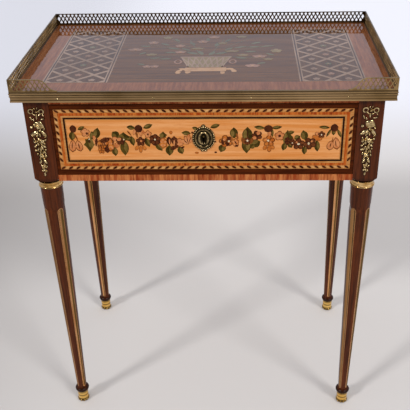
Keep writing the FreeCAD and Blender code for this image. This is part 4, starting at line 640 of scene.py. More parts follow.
garlandSet = {  # cut bit, across and up on the drawer front, half width, half height and turn
    "leaves": [
        ("leaf", -218, 681, 2.6, 6, -63), ("leaf", -235, 667, 4.4, 7.7, 172), ("vine", -206, 652, 7.6, 13.1, 180),
        ("leaf", -199, 666, 3.7, 7, -20), ("leaf", -191, 670, 4.9, 9.6, -15), ("leaf", -197, 669, 4, 5.1, 30),
        ("leaf", -161, 636, 4.2, 7.7, 185), ("leaf", -157, 668, 5.6, 6.3, 40), ("vine", -143, 662, 10, 8.6, 0),
        ("leaf", -143, 644, 5.8, 13, 182), ("leaf", -128, 657, 3.8, 8.3, 190), ("leaf", -134, 659, 2.4, 4.3, -90),
        ("leaf", -128, 682, 3.3, 6.4, 80), ("leaf", -99, 684, 3.3, 7.7, -67), ("leaf", -101, 654, 3.9, 8.1, 200),
        ("leaf", -81, 645, 4.2, 8.1, 215), ("vine", -72, 666, 5.9, 6.4, 0), ("leaf", -62, 638, 5.4, 8.8, 178),
        ("leaf", -42, 638, 4.5, 6.8, 200), ("leaf", -30, 671, 3.3, 7, 85), ("leaf", -14, 680, 2.4, 4.9, 75),
        ("leaf", 20, 684, 3.1, 7.6, -72), ("leaf", 33, 642, 5, 7.2, 160), ("leaf", 54, 670, 5.5, 9, 0),
        ("leaf", 78, 666, 7, 12.6, 0), ("leaf", 76, 647, 6.2, 12.5, 182), ("leaf", 92, 650, 6.1, 7.7, -65),
        ("leaf", 87, 645, 3.7, 4.9, 130), ("leaf", 100, 681, 2.8, 8.2, 82), ("leaf", 129, 681, 2.6, 7.8, -82),
        ("leaf", 122, 671, 1.8, 6.9, 180), ("leaf", 154, 671, 2.8, 5.6, -75), ("vine", 149, 659, 7.8, 13.3, 0),
        ("leaf", 144, 645, 3.8, 7.3, 165), ("leaf", 154, 647, 3.5, 5.1, 210), ("leaf", 166, 661, 4, 5, -60),
        ("leaf", 179, 665, 4.9, 8.5, 15), ("leaf", 180, 637, 3.5, 6.9, 180), ("leaf", 202, 646, 3.9, 9.6, 185),
        ("leaf", 214, 681, 2.4, 8.2, 85), ("leaf", 222, 671, 1.8, 7.6, 152), ("leaf", 240, 670, 2.2, 7.6, 205),
        ("leaf", 230, 672, 2.7, 5, 180),
    ],
    "dark": [
        ("dot", -232, 680, 5.1, 6.4, 0), ("rose", -177, 658, 7.8, 4.3, 20), ("rose", -175, 639, 3.8, 5.7, 15),
        ("flower", -149, 656, 7, 6.9, 0), ("petal", -193, 653, 2.1, 8.2, -8), ("dot", -115, 680, 5.9, 6.7, 0),
        ("flower", -113, 655, 7.2, 8.1, 0), ("rose", -87, 658, 9, 10, 0), ("petal", -62, 655, 3.9, 8.1, 0),
        ("rose", -52, 656, 4.8, 7.9, 10), ("rose", -55, 642, 5, 3.6, 20), ("rose", -50, 645, 3.9, 3.3, 0),
        ("dot", -38, 643, 2.9, 1.5, 30), ("dot", -20, 672, 1.5, 1.8, 0), ("rose", 45, 660, 3.3, 3.8, 0),
        ("rose", 43, 649, 2.9, 3.3, 0), ("petal", 34, 652, 1.9, 5.7, 20), ("dot", 59, 646, 2.5, 1.9, 0),
        ("flower", 95, 666, 8, 8.4, 20), ("dot", 115, 679, 6.8, 6.2, 0), ("rose", 78, 655, 4.7, 7.1, 0),
        ("rose", 158, 653, 3.5, 6.9, 0), ("flower", 169, 649, 9.4, 10, 0), ("flower", 189, 650, 10.4, 10.2, 30),
        ("flower", 209, 667, 5.5, 5.9, 0), ("dot", 231, 680, 5.7, 6.7, 0), ("rose", 149, 655, 4.5, 7.1, 0),
        ("dot", 21, 654, 1.4, 1.4, 0), ("dot", 21, 633, 2, 1.5, 0),
    ],
    "brown": [
        ("rose", -181, 649, 8.8, 10.2, 0), ("flower", -185, 638, 5.3, 6.4, 0), ("leaf", -228, 664, 1.1, 7, 20),
        ("leaf", -132, 671, 1.1, 5.9, 35), ("petal", -119, 668, 1.7, 7, 10), ("flower", 40, 655, 10.4, 10.3, 15),
        ("petal", 60, 664, 1.5, 5.7, 15), ("leaf", 71, 655, 2.8, 7, 20), ("leaf", 85, 655, 2.8, 5.9, -20),
        ("flower", 116, 655, 9.2, 9.5, 0), ("leaf", 229, 655, 0.8, 7.3, 175),
    ],
    "orange": [
        ("rose", -168, 649, 5.1, 10, 0), ("petal", -120, 643, 2.4, 4.6, 150), ("petal", -114, 640, 2.3, 5.5, 180),
        ("petal", -108, 643, 2.4, 4.6, 210), ("rose", -73, 652, 5.5, 7.8, 0), ("dot", -58, 672, 2, 2.6, 0),
        ("dot", -13, 632, 2.5, 1.5, 0), ("rose", 57, 652, 4.3, 6.2, 0), ("petal", 110, 643, 2.7, 4.4, 150),
        ("petal", 117, 641, 2.7, 5.9, 180), ("petal", 122, 644, 2.7, 4.4, 210), ("petal", 198, 661, 2.7, 4.8, 40),
        ("petal", 202, 660, 2.5, 5.1, -10), ("petal", 206, 658, 2.3, 3.8, -50),
    ],
    "pink": [
        ("petal", -236, 648, 4.8, 10, 172), ("petal", -225, 648, 4.8, 9, 190), ("flower", -211, 673, 5.7, 6.4, 0),
        ("petal", -195, 660, 2.3, 6, 15), ("dot", -178, 652, 2.7, 2.6, 0), ("petal", -158, 660, 3.6, 4.5, 80),
        ("petal", -155, 648, 4.7, 3.8, 60), ("petal", -112, 671, 2.5, 5.8, 10), ("petal", -107, 673, 1.7, 6.1, 35),
        ("petal", -123, 673, 1.8, 5.4, -20), ("flower", -99, 669, 4.7, 5.5, 0), ("rose", -43, 653, 4.9, 6.4, 0),
        ("petal", -33, 653, 2.8, 6.3, 55), ("petal", -30, 657, 2.4, 6.9, 25), ("petal", -27, 660, 2.3, 7, -5),
        ("petal", -23, 656, 2.3, 6, -40), ("petal", 117, 669, 2.5, 4.8, 0), ("flower", 135, 665, 6.3, 6.9, 0),
        ("petal", 203, 668, 2.6, 4.5, 70), ("petal", 226, 647, 4.6, 7.7, 170), ("petal", 236, 651, 4.8, 9.7, 190),
    ],
    "strokes": [
        ("leaf", -237, 648, 0.8, 7.2, 172), ("leaf", -225, 647, 0.8, 6.5, 190), ("rose", -208, 671, 2, 2.4, 0),
        ("dot", -205, 656, 1.4, 3.1, 0), ("leaf", -163, 653, 0.9, 6, -10), ("leaf", -179, 652, 1, 5.8, 30),
        ("leaf", -174, 646, 0.9, 4.8, -20), ("leaf", -185, 645, 0.8, 5.3, 10), ("rose", -99, 669, 1.6, 1.9, 0),
        ("leaf", -32, 654, 0.7, 5, 40), ("leaf", -29, 657, 0.6, 5.8, 10), ("leaf", -25, 657, 0.6, 5.2, -20),
        ("leaf", 40, 652, 1, 5.4, -40), ("leaf", 36, 656, 0.9, 4.7, 50), ("leaf", 57, 652, 0.9, 4.4, 30),
        ("rose", 135, 665, 2.3, 2.6, 0), ("leaf", 235, 650, 0.7, 7.2, 190), ("leaf", 226, 647, 0.7, 5.3, 170),
        ("leaf", 78, 668, 0.7, 9.5, 0),
    ],
    "gleams": [
        ("petal", -151, 659, 3.8, 3.5, 30), ("petal", -61, 654, 1.3, 5.5, 0), ("petal", -53, 651, 1.3, 6.3, -5),
        ("dot", -112, 656, 2, 2.1, 0), ("petal", 97, 670, 3, 3.8, -20), ("petal", 91, 661, 2.9, 3.9, 40),
        ("petal", 37, 658, 2.3, 2.8, 40), ("petal", 166, 652, 1.6, 2.4, 40), ("petal", 192, 654, 1.6, 2.4, -40),
        ("petal", 112, 658, 1.6, 2.2, 40), ("petal", 119, 653, 1.6, 2.2, -140),
    ],
    "pale": [
        (-205, 660, 1.1, 1.3), (-143, 659, 1.3, 1.5), (-87, 659, 1.5, 1.8), (45, 655, 1.7, 2), (78, 656, 1.7, 2),
        (115, 656, 1.8, 2.1), (158, 651, 1.1, 1.2), (169, 649, 2.5, 1.9), (187, 650, 1.8, 2.6), (209, 667, 1.2, 1.4),
    ],
    "full": {"leaves": 1.32, "dark": 1.16, "brown": 1.2, "orange": 1.2, "pink": 1.2, "strokes": 1.1, "gleams": 1.1},
    "lit": {"wide": 0.46, "tall": 0.72, "aside": 0.36},  # shares of a leaf that its lighter half takes
    "rim": 1.2,  # how much the browned edge shows round a pink or orange petal
    # lighter petals let into a blossom, in shares of it, so that it shows dark lines between them
    "petals": {"count": 5, "least": 3.6, "out": 0.54, "wide": 0.27, "tall": 0.36},
}


def garland():
    def chosen(kind, rim=1.0):
        grown = garlandSet["full"][kind] * rim
        return [(bit, x, z, wide * grown, tall * grown, turn) for bit, x, z, wide, tall, turn in garlandSet[kind]]

    def litHalves():
        lit = garlandSet["lit"]
        for bit, x, z, wide, tall, turn in chosen("leaves"):
            lean, aside = math.radians(turn), lit["aside"] * wide
            yield ("leaf", x - aside * math.cos(lean), z - aside * math.sin(lean), wide * lit["wide"],
                   tall * lit["tall"], turn)

    def petalled(kind):
        petals = garlandSet["petals"]
        for bit, x, z, wide, tall, turn in chosen(kind):
            if bit in ("rose", "flower") and min(wide, tall) > petals["least"]:
                for i in range(petals["count"]):
                    lean = turn + 360 * i / petals["count"]
                    out = math.radians(lean)
                    yield ("petal", x - petals["out"] * wide * math.sin(out), z + petals["out"] * tall * math.cos(out),
                           petals["wide"] * wide, petals["tall"] * tall, lean)

    rims = chosen("pink", garlandSet["rim"]) + chosen("orange", garlandSet["rim"])
    layers = (("Leaves", chosen("leaves"), "green", "satinwood"), ("Lit", litHalves(), "olive", "satinwood"),
              ("Rims", rims, "brown", "rosewood"), ("Orange", chosen("orange"), "orange", "tulipwood"),
              ("OrangePetals", petalled("orange"), "pink", "tulipwood"),
              ("Brown", chosen("brown"), "brown", "rosewood"),
              ("BrownPetals", petalled("brown"), "orange", "tulipwood"),
              ("Pink", chosen("pink"), "pink", "tulipwood"), ("Dark", chosen("dark"), "red", "rosewood"),
              ("DarkPetals", petalled("dark"), "russet", "rosewood"),
              ("Strokes", chosen("strokes"), "red", "rosewood"), ("Gleams", chosen("gleams"), "pink", "tulipwood"))
    for layer, (name, places, dye, slot) in enumerate(layers):
        inlay("garland" + name, frontFace, layer + 1, places, dye + "-dyed maple", "drawer", slot)
    pale = [("dot", *place, 0) for place in garlandSet["pale"]]
    inlay("garlandPale", frontFace, len(layers) + 1, pale, "holly", "drawer", "satinwood")


drawerBorder()
garland()
print("drawer front inlaid")


# Top: stringing, trellis and flower basket

topSet = {
    "panel": (170.0, 287.0), "depth": 151.0, "line": 2.4, "hair": 0.01,  # nested lines end a hair apart
    "lozenge": (57.0, 51.5), "rows": -138.0, "strap": 6.0, "strapLength": 420, "strapRows": range(-3, 10),
    "flower": 6.4, "heart": 2.4, "flowerRows": 12, "clear": 8,  # flowers keep clear of the panel's ends
}


def trimTo(piece, low, high):
    # cut away what runs past the panel, on all four sides
    bpy.ops.object.select_all(action="DESELECT")
    piece.select_set(True)
    bpy.context.view_layer.objects.active = piece
    bpy.ops.object.mode_set(mode="EDIT")
    for point, normal in (((low[0], 0, 0), (-1, 0, 0)), ((high[0], 0, 0), (1, 0, 0)),
                          ((0, low[1], 0), (0, -1, 0)), ((0, high[1], 0), (0, 1, 0))):
        bpy.ops.mesh.select_all(action="SELECT")
        bpy.ops.mesh.bisect(plane_co=[v * mm for v in point], plane_no=normal, use_fill=True, clear_outer=True)
    closed()


def trellis():
    near, far = topSet["panel"]
    deep, line = topSet["depth"], topSet["line"]
    wide, tall = topSet["lozenge"]
    lean = math.degrees(math.atan2(tall, wide))
    lines = (("polished boxwood", "satinwood"), ("polished ebony", "rosewood"), ("polished boxwood", "satinwood"))
    for side, sign in (("Left", -1), ("Right", 1)):
        middle = sign * (near + far) / 2
        low, high = sorted((sign * near, sign * far))
        for layer, turn in ((1, lean), (2, -lean)):
            straps = [(middle, topSet["rows"] + k * tall, topSet["strapLength"], topSet["strap"], turn)
                      for k in topSet["strapRows"]]
            lattice = strips("trellis%d%s" % (layer, side), topFace, straps, layer)
            trimTo(lattice, (low + len(lines) * line, -deep + line), (high - len(lines) * line, deep - line))
            settle(lattice, "polished boxwood", "frame", "satinwood")
        for course, (finish, slot) in enumerate(lines):
            band("trellisLine%d%s" % (course, side), topFace, (middle, 0),
                 ((far - near) / 2 - course * line, deep - course * topSet["hair"]), line, len(lines) + course, finish,
                 "frame", slot)
        tints = {"holly": [], "cherry": [], "green": []}
        hearts = []
        for row in range(topSet["flowerRows"]):
            y = topSet["rows"] + row * tall / 2
            if abs(y) > deep - topSet["clear"]:
                continue
            for column in ((-0.5, 0.5) if row % 2 == 0 else (0,)):
                x = middle + column * wide
                tint = "holly" if column else ("cherry", "green")[row // 2 % 2]
                tints[tint].append(("flower", x, y, topSet["flower"], topSet["flower"], 0))
                hearts.append(("dot", x, y, topSet["heart"], topSet["heart"], 0))
        for tint, petals in tints.items():
            inlay("trellis" + tint.capitalize() + side, topFace, 2, petals, "polished " + tint, "frame", "satinwood")
        inlay("trellisHearts" + side, topFace, 5, hearts, "polished boxwood", "frame", "satinwood")


basketSet = {
    "bench": [  # bars of the bench: across, up, length, width, turn
        (1.5, -87, 76, 19, 0), (-30, -101, 8, 9, 90), (33, -103, 10, 8, 90),
    ],
    "arms": [  # curling arms and feet: across, up, half width, half height, turn
        (-39, -86, 4.5, 10, 70), (-46, -94, 4, 10, 140), (-48, -104, 5, 5, 0), (44, -85, 4.5, 10, -80),
        (52, -91, 4, 9, -140), (54, -97, 5, 5, 0), (-31, -104, 4, 5, 0), (33, -107, 4, 5, 0),
    ],
    "bowl": {"low": -76.0, "high": -20.0, "mouth": 47.0, "foot": 31.0, "cane": 2.6, "gap": 13.0, "weave": 0.35,
             "rim": 5.0, "past": 2.0},  # the rim runs past the mouth
    "rings": [(-52, -46, 6, 10), (51, -46, 6, 10)],  # handles: across, up, half sizes
    "links": {"count": 14, "half": (1.8, 3.4)},  # bits of each handle
    "pink": [  # broad soft blossoms: across, up, half width, half height
        (-141, 26, 11, 7), (-109, 68, 8, 8), (-10, 72, 8, 8), (-108, -71, 6, 6), (-94, -70, 6, 6), (88, -69, 10, 7),
        (102, -18, 10, 7), (-54, 46, 7, 7), (12, 100, 9, 7), (-51, 9, 8, 6),
    ],
    "pale": [(-83, 99, 7, 7), (68, 102, 8, 6), (-18, 30, 10, 5), (49, 13, 10, 5), (135, 14, 8, 9), (-106, -4, 8, 6),
             (30, 62, 7, 5), (70, -10, 8, 5), (118, -34, 7, 5)],
    "full": (1.4, 1.25), "heart": 0.3,  # blossoms opened wide, and the share their hearts take
    "leaves": [  # across, up, half width, half height, turn
        (-11, 3, 5, 14, 20), (10, 0, 5, 14, -25), (-26, 2, 5, 15, 60), (28, 2, 5, 15, -60), (-40, 24, 4, 14, 50),
        (42, 26, 4, 14, -45), (-66, 32, 4, 16, 75), (64, 36, 4, 16, -65), (90, 38, 3.5, 18, -80),
        (118, 42, 3.5, 16, -78), (-84, 56, 4, 13, 50), (96, 62, 3.5, 14, -60), (-30, 60, 4, 13, 30),
        (18, 52, 4, 13, -10), (0, 84, 4, 13, 0), (40, 78, 4, 13, -30), (-122, 46, 3.5, 13, 80),
        (-76, -28, 4, 14, 100), (66, -26, 4, 14, -100), (-124, 4, 3.5, 11, 140), (122, -6, 3.5, 12, -130),
        (-62, 82, 3.5, 12, 30), (-96, -24, 3.5, 12, 110), (-70, 8, 4, 13, 90), (84, 10, 4, 14, -85),
        (-120, -58, 3.5, 9, 70), (104, -56, 3.5, 10, -70),
    ],
    "stems": [  # across, up, length, width, turn
        (-70, 30, 110, 1.4, 150), (74, 24, 130, 1.4, 22), (-26, 44, 80, 1.4, 105), (22, 46, 90, 1.4, 75),
        (-80, -14, 70, 1.4, 195), (76, -22, 70, 1.4, -12), (-55, 64, 70, 1.4, 125), (58, 60, 80, 1.4, 50),
    ],
}


def basket():
    def settled(piece, finish):
        settle(piece, "polished " + finish, "frame", "satinwood")

    def inset(name, layer, places, finish):
        inlay(name, topFace, layer, places, "polished " + finish, "frame", "satinwood")

    settled(strips("basketBench", topFace, basketSet["bench"], 1), "apricot")
    inset("basketArms", 2, [("leaf" if arm[2] < arm[3] else "dot", *arm) for arm in basketSet["arms"]], "apricot")
    bowl = basketSet["bowl"]
    mouth, foot = bowl["mouth"], bowl["foot"]
    rise, middle = bowl["high"] - bowl["low"], (bowl["low"] + bowl["high"]) / 2
    piece = started(bpy.ops.mesh.primitive_plane_add, size=2)
    piece.name = "basketBowl"
    stretch(mouth * mm, rise / 2 * mm)
    pickCorners(lambda corner: corner.co.y < 0)
    stretch(foot / mouth, 1)
    thicken(veneerSet["thick"] * mm)
    piece.data.transform(topFace @ Matrix.Translation((0, middle * mm, veneerSet["layer"] * mm)))
    settled(piece, "willow")
    count = int(2 * mouth / bowl["gap"])
    for name, layer, lean in (("basketCanes1", 2, 1), ("basketCanesBack", 3, -1)):  # canes woven aslant both ways
        canes = []
        for i in range(count + 1):
            share = 2 * i / count - 1
            high, low = share * mouth, max(-1, min(1, share + bowl["weave"] * lean)) * foot
            canes.append(((high + low) / 2, middle, math.hypot(high - low, rise), bowl["cane"],
                          math.degrees(math.atan2(rise, high - low))))
        settled(strips(name, topFace, canes, layer), "boxwood")
    rim = [(0, bowl["high"], 2 * (mouth + bowl["past"]), bowl["rim"], 0)]
    settled(strips("basketRim", topFace, rim, 4), "boxwood")
    links = basketSet["links"]
    rings = []
    for x, y, wide, tall in basketSet["rings"]:
        for i in range(links["count"]):
            angle = 2 * math.pi * i / links["count"]
            rings.append(("petal", x + wide * math.cos(angle), y + tall * math.sin(angle), *links["half"],
                          math.degrees(math.atan2(tall * math.cos(angle), -wide * math.sin(angle))) - 90))
    inset("basketRings", 4, rings, "cherry")
    settled(strips("bouquetStems", topFace, basketSet["stems"], 1), "green")
    inset("bouquetLeaves", 2, [("leaf", *leaf) for leaf in basketSet["leaves"]], "green")
    full, heart = basketSet["full"], basketSet["heart"]
    for kind, finish in (("pink", "cherry"), ("pale", "willow")):
        blooms = [("flower", x, y, wide * full[0], tall * full[1], 0) for x, y, wide, tall in basketSet[kind]]
        inset("bouquet" + kind.capitalize(), 4, blooms, finish)
    hearts = [("dot", x, y, heart * wide, heart * tall, 0) for x, y, wide, tall in basketSet["pink"]]
    inset("bouquetHearts", 6, hearts, "apricot")


trellis()
basket()
print("top inlaid")


# Key plate: beaded oval with a ribbed ring, bright inner ring and sunk keyhole

keyPlateSet = {
    "up": 660.75, "sides": 48, "edge": math.radians(35), "merge": 0.001,
    # half width, half height and rise of each course, from the outer edge in and back again
    "courses": [(20.4, 22.9, -0.2), (20.4, 22.9, 0.9), (19.8, 22.3, 1.2), (18.0, 20.6, 1.2), (17.4, 20.0, 0.5),
                (16.6, 19.2, 0.5), (16.0, 18.6, 1.6), (14.8, 17.3, 2.2), (13.4, 16.0, 1.8), (12.2, 15.0, 0.5),
                (10.4, 13.7, 0.5), (9.8, 13.1, 1.8), (8.6, 12.2, 2.4), (7.1, 11.0, 2.1), (5.5, 9.7, 0.9),
                (4.4, 8.9, 0.3), (4.4, 8.9, -0.2)],
    "beads": {"count": 32, "ring": (18.9, 21.5), "half": (1.6, 1.6), "rise": 2.0, "lift": 1.0, "turned": False},
    "ribs": {"count": 36, "ring": (14.8, 17.3), "half": (0.6, 1.6), "rise": 0.6, "lift": 2.0, "turned": True},
    "finials": [(0, 23.6, 3.6), (-2.6, -23.6, 2.9), (2.8, -23.4, 2.9)],  # across, up, radius
    "finialRise": (1.7, 0.4), "stud": 0.5, "studRise": (0.9, 1.9),  # rise and lift
    # a round hole over a slot whose end is all but flat
    "keyhole": {"floor": (4.6, 9.1), "radius": 3.0, "up": 2.65, "slot": 1.5, "drop": 5.6, "near": 0.01, "flat": 0.02,
                "rise": 0.35, "depth": 11.0},
}


def roundTheOval(kind):
    # lumps evenly by angle; the ribs are turned the way out of the oval
    ring, count = kind["ring"], kind["count"]
    for i in range(count):
        angle = 2 * math.pi * i / count
        x, z = ring[0] * math.cos(angle), ring[1] * math.sin(angle)
        turn = math.degrees(math.atan2(z / ring[1] ** 2, x / ring[0] ** 2)) - 90 if kind["turned"] else 0
        yield "bead", x, z + keyPlateSet["up"], *kind["half"], turn, kind["rise"], kind["lift"]


def keyPlate():
    up, sides, courses = keyPlateSet["up"], keyPlateSet["sides"], keyPlateSet["courses"]
    place, millimetres = frontFace @ Matrix.Translation((0, up * mm, 0)), Matrix.Diagonal((mm, mm, mm, 1))
    plate = started(bpy.ops.mesh.primitive_circle_add, vertices=sides, radius=1, fill_type="NOTHING")
    plate.name = "keyPlate"
    stretch(courses[0][0], courses[0][1])
    bpy.ops.transform.translate(value=(0, 0, courses[0][2]))
    for before, after in zip(courses, courses[1:] + courses[:1]):
        bpy.ops.mesh.extrude_edges_move(TRANSFORM_OT_translate={"value": (0, 0, after[2] - before[2])})
        stretch(after[0] / before[0], after[1] / before[1])
    bpy.ops.mesh.select_all(action="SELECT")
    bpy.ops.mesh.remove_doubles(threshold=keyPlateSet["merge"])
    closed()
    plate.data.transform(place @ millimetres)
    bpy.ops.object.shade_smooth_by_angle(angle=keyPlateSet["edge"])
    settle(plate, "antique brass", "drawer", "gilt_brass", "escutcheon")

    finials = keyPlateSet["finials"]
    lumps = list(roundTheOval(keyPlateSet["beads"]))
    lumps += [("bead", x, z + up, size, size, 0, *keyPlateSet["finialRise"]) for x, z, size in finials]
    raised("keyPlateBeads", frontFace, lumps, "antique brass", "drawer", "gilt_brass")
    stud = keyPlateSet["stud"]
    lumps = [("bead", x, z + up, stud * size, stud * size, 0, *keyPlateSet["studRise"]) for x, z, size in finials]
    raised("keyPlateStuds", frontFace, lumps, "gilt bronze", "drawer", "gilt_brass")
    raised("keyPlateRibs", frontFace, roundTheOval(keyPlateSet["ribs"]), "lock brass", "drawer", "gilt_brass")

    # the keyhole's floor and walls are painted shade, black so that the hole reads as deep
    hole = keyPlateSet["keyhole"]
    floor = started(bpy.ops.mesh.primitive_circle_add, vertices=sides, radius=1, fill_type="NOTHING")
    floor.name = "keyholeShadeFloor"
    stretch(*hole["floor"])
    bpy.ops.mesh.primitive_circle_add(vertices=sides, radius=hole["radius"], location=(0, hole["up"], 0),
                                      fill_type="NOTHING")
    rim = hole["up"] - math.sqrt(hole["radius"] ** 2 - hole["slot"] ** 2)
    pickCorners(lambda corner: abs(corner.co.x) < hole["slot"] and -hole["drop"] < corner.co.y <= rim + hole["near"])
    stretch(1, hole["flat"], centre=(0, -hole["drop"], 0))
    bpy.ops.mesh.select_all(action="SELECT")
    bpy.ops.mesh.bridge_edge_loops()
    thicken(hole["depth"])
    floor.data.transform(place @ Matrix.Translation((0, 0, hole["rise"] * mm)) @ millimetres)
    settle(floor, "keyhole shade black", "drawer", "gilt_brass")


# Gilt mounts on the front legs' blocks: ribbon bow, trophy and a drop of flowers

mountFull, mountRise = 1.2, 3.6  # how much fuller than drawn, and how far leaves and flowers stand out
mountSet = {  # across and up; half width, half height and turn, or a radius
    "centre": 292.5, "stem": [(-0.8, 626, 0.9, 36, 0)],
    "loops": [(-9.8, 714.2, 6.0, 5.8, 40), (8.4, 713.6, 5.6, 6.2, -30)],
    "ribbons": [(-11.3, 700.4, 1.5, 5.4, 29), (-7, 697.6, 1.2, 3.4, 20), (-1.2, 703.6, 1.6, 6.4, 0),
                (7.8, 699.4, 1.4, 5.6, -72), (-5, 708, 1.3, 4.6, 60), (3.6, 707, 1.3, 4.6, -50),
                (-3, 719, 1.0, 3, 25), (1.5, 720, 1.0, 3, -10), (11, 706, 1.2, 3.2, 20)],
    "quiver": [(0.7, 687.6, 11.0, 9.0, -25)],
    "quiverBands": [(0.6, 691.6, 0.8, 5.6, -80), (0.9, 688.6, 0.8, 7.0, -80), (0.4, 685.6, 0.8, 6.0, -80),
                    (-6.6, 687.4, 1.2, 4.6, 20)],
    "torches": [(-8.0, 672.6, 3.2, 9.0, 126), (6.4, 672.4, 3.0, 8.4, 213)],
    "torchRims": [(-13.8, 668.6, 1.3, 4.2, 36), (10.6, 666.0, 1.3, 4.0, 123)],
    "leaves": [(9, 680, 1.6, 3.6, -25), (-4.7, 669, 2.4, 5.8, -20), (0.4, 668.6, 1.7, 5.2, 8),
               (-2.8, 660, 2.0, 5.2, 32), (5.5, 646, 2.0, 4.6, 55), (-6.5, 640.5, 1.8, 6.4, -22),
               (-2.1, 640, 1.8, 6.4, -6), (1.2, 643, 1.8, 6.0, 18), (5, 634, 1.7, 4.8, 22),
               (6, 627.4, 1.5, 4.2, 20), (-8.6, 649, 1.8, 4.4, -50), (-9, 631, 1.6, 4.2, -30),
               (-5.9, 614.8, 2.2, 5.6, -31), (3.4, 615, 2.3, 6.0, 28), (0, 607.4, 2.2, 6.0, 0),
               (-4, 606, 1.7, 4.4, 24), (3.6, 605, 1.5, 4.0, -24), (-4.4, 597, 1.4, 3.6, 30),
               (2.6, 596, 1.4, 3.6, -26), (8.8, 659, 1.6, 3.8, -40), (-11, 661, 1.5, 3.6, 30),
               (1.6, 649, 1.6, 4.4, -14), (-5, 651, 1.6, 4.4, 24), (-3, 633, 1.7, 5.0, 10),
               (1.6, 634, 1.6, 4.6, -18)],
    "flowers": [(0.2, 713.4, 2.9), (1.6, 655.4, 4.7), (-10.6, 655.4, 3.2), (-2.1, 627.2, 4.4), (-1.5, 598.4, 3.2),
                (-5.6, 656.6, 2.6), (6.6, 652, 2.4), (-5.4, 622, 2.4), (2.0, 622.6, 2.4)],
    "drops": [(-1.4, 590.2, 2.0, 4.6, 180)],
    "beads": [(-13, 683.8, 2.7), (1, 677.4, 2.4), (-11.4, 646.2, 2.3), (-11.2, 638.6, 2.4), (-3, 603, 1.6),
              (6.8, 640, 1.8)],
    # cast bit, how full, rise and lift of each kind
    "casts": {"stem": ("leafCast", 1, 1.0, 0), "loops": ("loop", 1, 3.6, 0.8), "quiver": ("case", 1, 2.8, 0),
              "quiverBands": ("leafCast", 1, 1.3, 2.5), "ribbons": ("leafCast", mountFull, 2.6, 0),
              "torches": ("petalCast", mountFull, 3.2, 0), "drops": ("petalCast", mountFull, 3.2, 0),
              "torchRims": ("leafCast", mountFull, mountRise, 0), "leaves": ("leafCast", mountFull, mountRise, 0)},
    "twist": 9, "heart": 0.4, "heartRise": 1.3, "heartLift": 0.8 * mountRise,  # flowers turn with their place
}


def cornerMounts():
    lumps = []
    for kind, (cast, full, rise, lift) in mountSet["casts"].items():
        for x, z, wide, tall, turn in mountSet[kind]:
            lumps.append((cast, x, z, wide * full, tall * full, turn, rise, lift))
    for x, z, size in mountSet["flowers"]:
        full, heart = size * mountFull, size * mountSet["heart"]
        lumps.append(("flowerCast", x, z, full, full, mountSet["twist"] * x, mountRise, 0))
        lumps.append(("bead", x, z, heart, heart, 0, mountSet["heartRise"], mountSet["heartLift"]))
    for x, z, size in mountSet["beads"]:
        lumps.append(("bead", x, z, size * mountFull, size * mountFull, 0, mountRise, 0))
    for side, sign in (("left", -1), ("right", 1)):
        face = frontFace @ Matrix.Translation((sign * mountSet["centre"] * mm, 0, 0))
        raised("cornerMount" + side.capitalize(), face, lumps, "gilt bronze", "frame", "gilt_brass",
               "corner_mount_" + side)


# Feet: a ring of lobes round the base of each cup

footSet = {"count": 11, "ring": 11.7, "up": 3.9, "half": (2.5, 3.3, 1.3),  # half width, half height and rise
           "places": [(-292.5, -165.5), (292.5, -165.5), (-292.5, 165.5), (292.5, 165.5)]}


def footLobes():
    for number, (x, y) in enumerate(footSet["places"]):
        copies = []
        for i in range(footSet["count"]):
            face = (Matrix.Translation((x * mm, y * mm, footSet["up"] * mm))
                    @ Matrix.Rotation(2 * math.pi * (i + 0.5) / footSet["count"], 4, "Z")
                    @ Matrix.Translation((0, -footSet["ring"] * mm, 0)) @ Matrix.Rotation(math.pi / 2, 4, "X"))
            copies.append(laid("bead", face, 0, 0, 0, 0, *footSet["half"]))
        piece = joined("footLobes%d" % (number + 1), copies)
        bpy.ops.object.shade_smooth_by_angle(angle=castEdge)
        settle(piece, "rubbed brass", "frame", "gilt_brass")


keyPlate()
cornerMounts()
footLobes()
print("key plate, mounts and feet cast")


# Sides and back of the frieze: a banded frame like the drawer's

friezeSet = {"sides": (131, 60), "back": (256, 60), "middle": 657.0, "band": 12.0, "line": 2.2}


def friezeBands():
    width, line = friezeSet["band"], friezeSet["line"]
    for side, face, size in (("left", leftFace, "sides"), ("right", rightFace, "sides"), ("back", backFace, "back")):
        for name, inner, thick, finish, slot in (("Band", 0, width, "tulipwood crossband", "tulipwood"),
                                                 ("Line", width, line, "boxwood", "satinwood"),
                                                 ("Shadow", width + line, line, "ebonised line", "rosewood")):
            half = [v - inner for v in friezeSet[size]]
            band(side + "Frieze" + name, face, (0, friezeSet["middle"]), half, thick, 1, finish, "frame", slot)


friezeBands()
print("frieze banded")


# Gallery: stout cast strands round the thin lattice of the back and sides

strandSet = {
    "thick": 1.6, "soft": 0.3, "apart": 0.06,  # the two ways cross a hair apart
    "pitch": 8.4, "middle": 764.6, "half": 9.4, "margin": 2.2,
    # each run's face, how far out it stands, half its length and the strands' width
    "runs": (("Back", backFace, 9.3, 330.6, 2.5), ("Left", leftFace, 18.3, 192.2, 1.8),
             ("Right", rightFace, 18.3, 192.2, 1.8)),
}


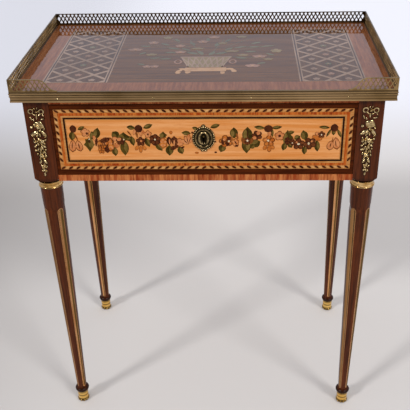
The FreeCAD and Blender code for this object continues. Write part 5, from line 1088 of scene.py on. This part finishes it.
def galleryStrands():
    half, thick = strandSet["half"], strandSet["thick"]
    for name, face, out, span, width in strandSet["runs"]:
        count = round(2 * span / strandSet["pitch"])
        step = 2 * span / count
        lean = math.atan2(half - strandSet["margin"], step / 2)
        strand = started(bpy.ops.mesh.primitive_plane_add, size=1)
        stretch(2 * half / math.sin(lean) * mm, width * mm)
        bpy.ops.transform.translate(value=(0, 0, thick / 2 * mm))
        thicken(thick * mm)
        bpy.ops.object.mode_set(mode="EDIT")
        bpy.ops.mesh.bevel(offset=strandSet["soft"] * mm)
        bpy.ops.object.mode_set(mode="OBJECT")
        copies = []
        for way in (1, -1):
            for i in range(1, count):
                place = (i * step - span, strandSet["middle"], out + way * strandSet["apart"])
                copies.append(copied(strand, face @ Matrix.Translation([v * mm for v in place])
                                     @ Matrix.Rotation(way * lean, 4, "Z")))
        bpy.data.objects.remove(strand)
        settle(joined("galleryStrands" + name, copies), "gallery brass", "frame", "gallery_brass")


galleryStrands()
print("gallery strands cast")


# Leaf spring over the lock's tumbler, which closes as the tumbler lifts

springSet = {
    "bends": [(6.0, 723.3), (2.0, 720.3), (-2.0, 717.3), (-6.0, 714.3), (-8.4, 712.5), (-9.4, 711.55), (-8.4, 710.6),
              (-6.0, 708.8), (-2.0, 705.8), (2.0, 702.8), (6.0, 699.8)],  # across and up
    "middle": -171.1, "width": 1.8, "thick": 0.6,
    "held": 711.5, "led": 701.0,  # on the lock, the spring is held above the first and pushed by the tumbler below the second
}


def tumblerSpring():
    bends, middle = springSet["bends"], springSet["middle"]
    spring = started(bpy.ops.mesh.primitive_plane_add, size=springSet["width"] * mm)
    spring.name = "tumblerSpring"
    pickCorners(lambda corner: corner.co.x > 0)
    bpy.ops.mesh.delete(type="VERT")
    bpy.ops.mesh.select_all(action="SELECT")
    start = (bends[0][0] + springSet["width"] / 2, middle, bends[0][1])  # the edge left is half a width to the left
    bpy.ops.transform.translate(value=[v * mm for v in start])
    for before, after in zip(bends, bends[1:]):
        step = ((after[0] - before[0]) * mm, 0, (after[1] - before[1]) * mm)
        bpy.ops.mesh.extrude_edges_move(TRANSFORM_OT_translate={"value": step})
    bpy.ops.object.mode_set(mode="OBJECT")
    bpy.ops.object.modifier_add(type="SOLIDIFY")
    leaf = spring.modifiers[0]
    leaf.thickness, leaf.offset = springSet["thick"] * mm, 0
    bpy.ops.object.modifier_apply(modifier=leaf.name)
    bpy.ops.object.mode_set(mode="EDIT")
    closed()
    bpy.ops.object.shade_smooth_by_angle(angle=castEdge)
    spring.data.materials.append(finishes["steel"])
    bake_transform(spring)
    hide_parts("tumbler_spring")


tumblerSpring()
print("lock spring bent")

for bit in bits.values():
    bpy.data.objects.remove(bit)
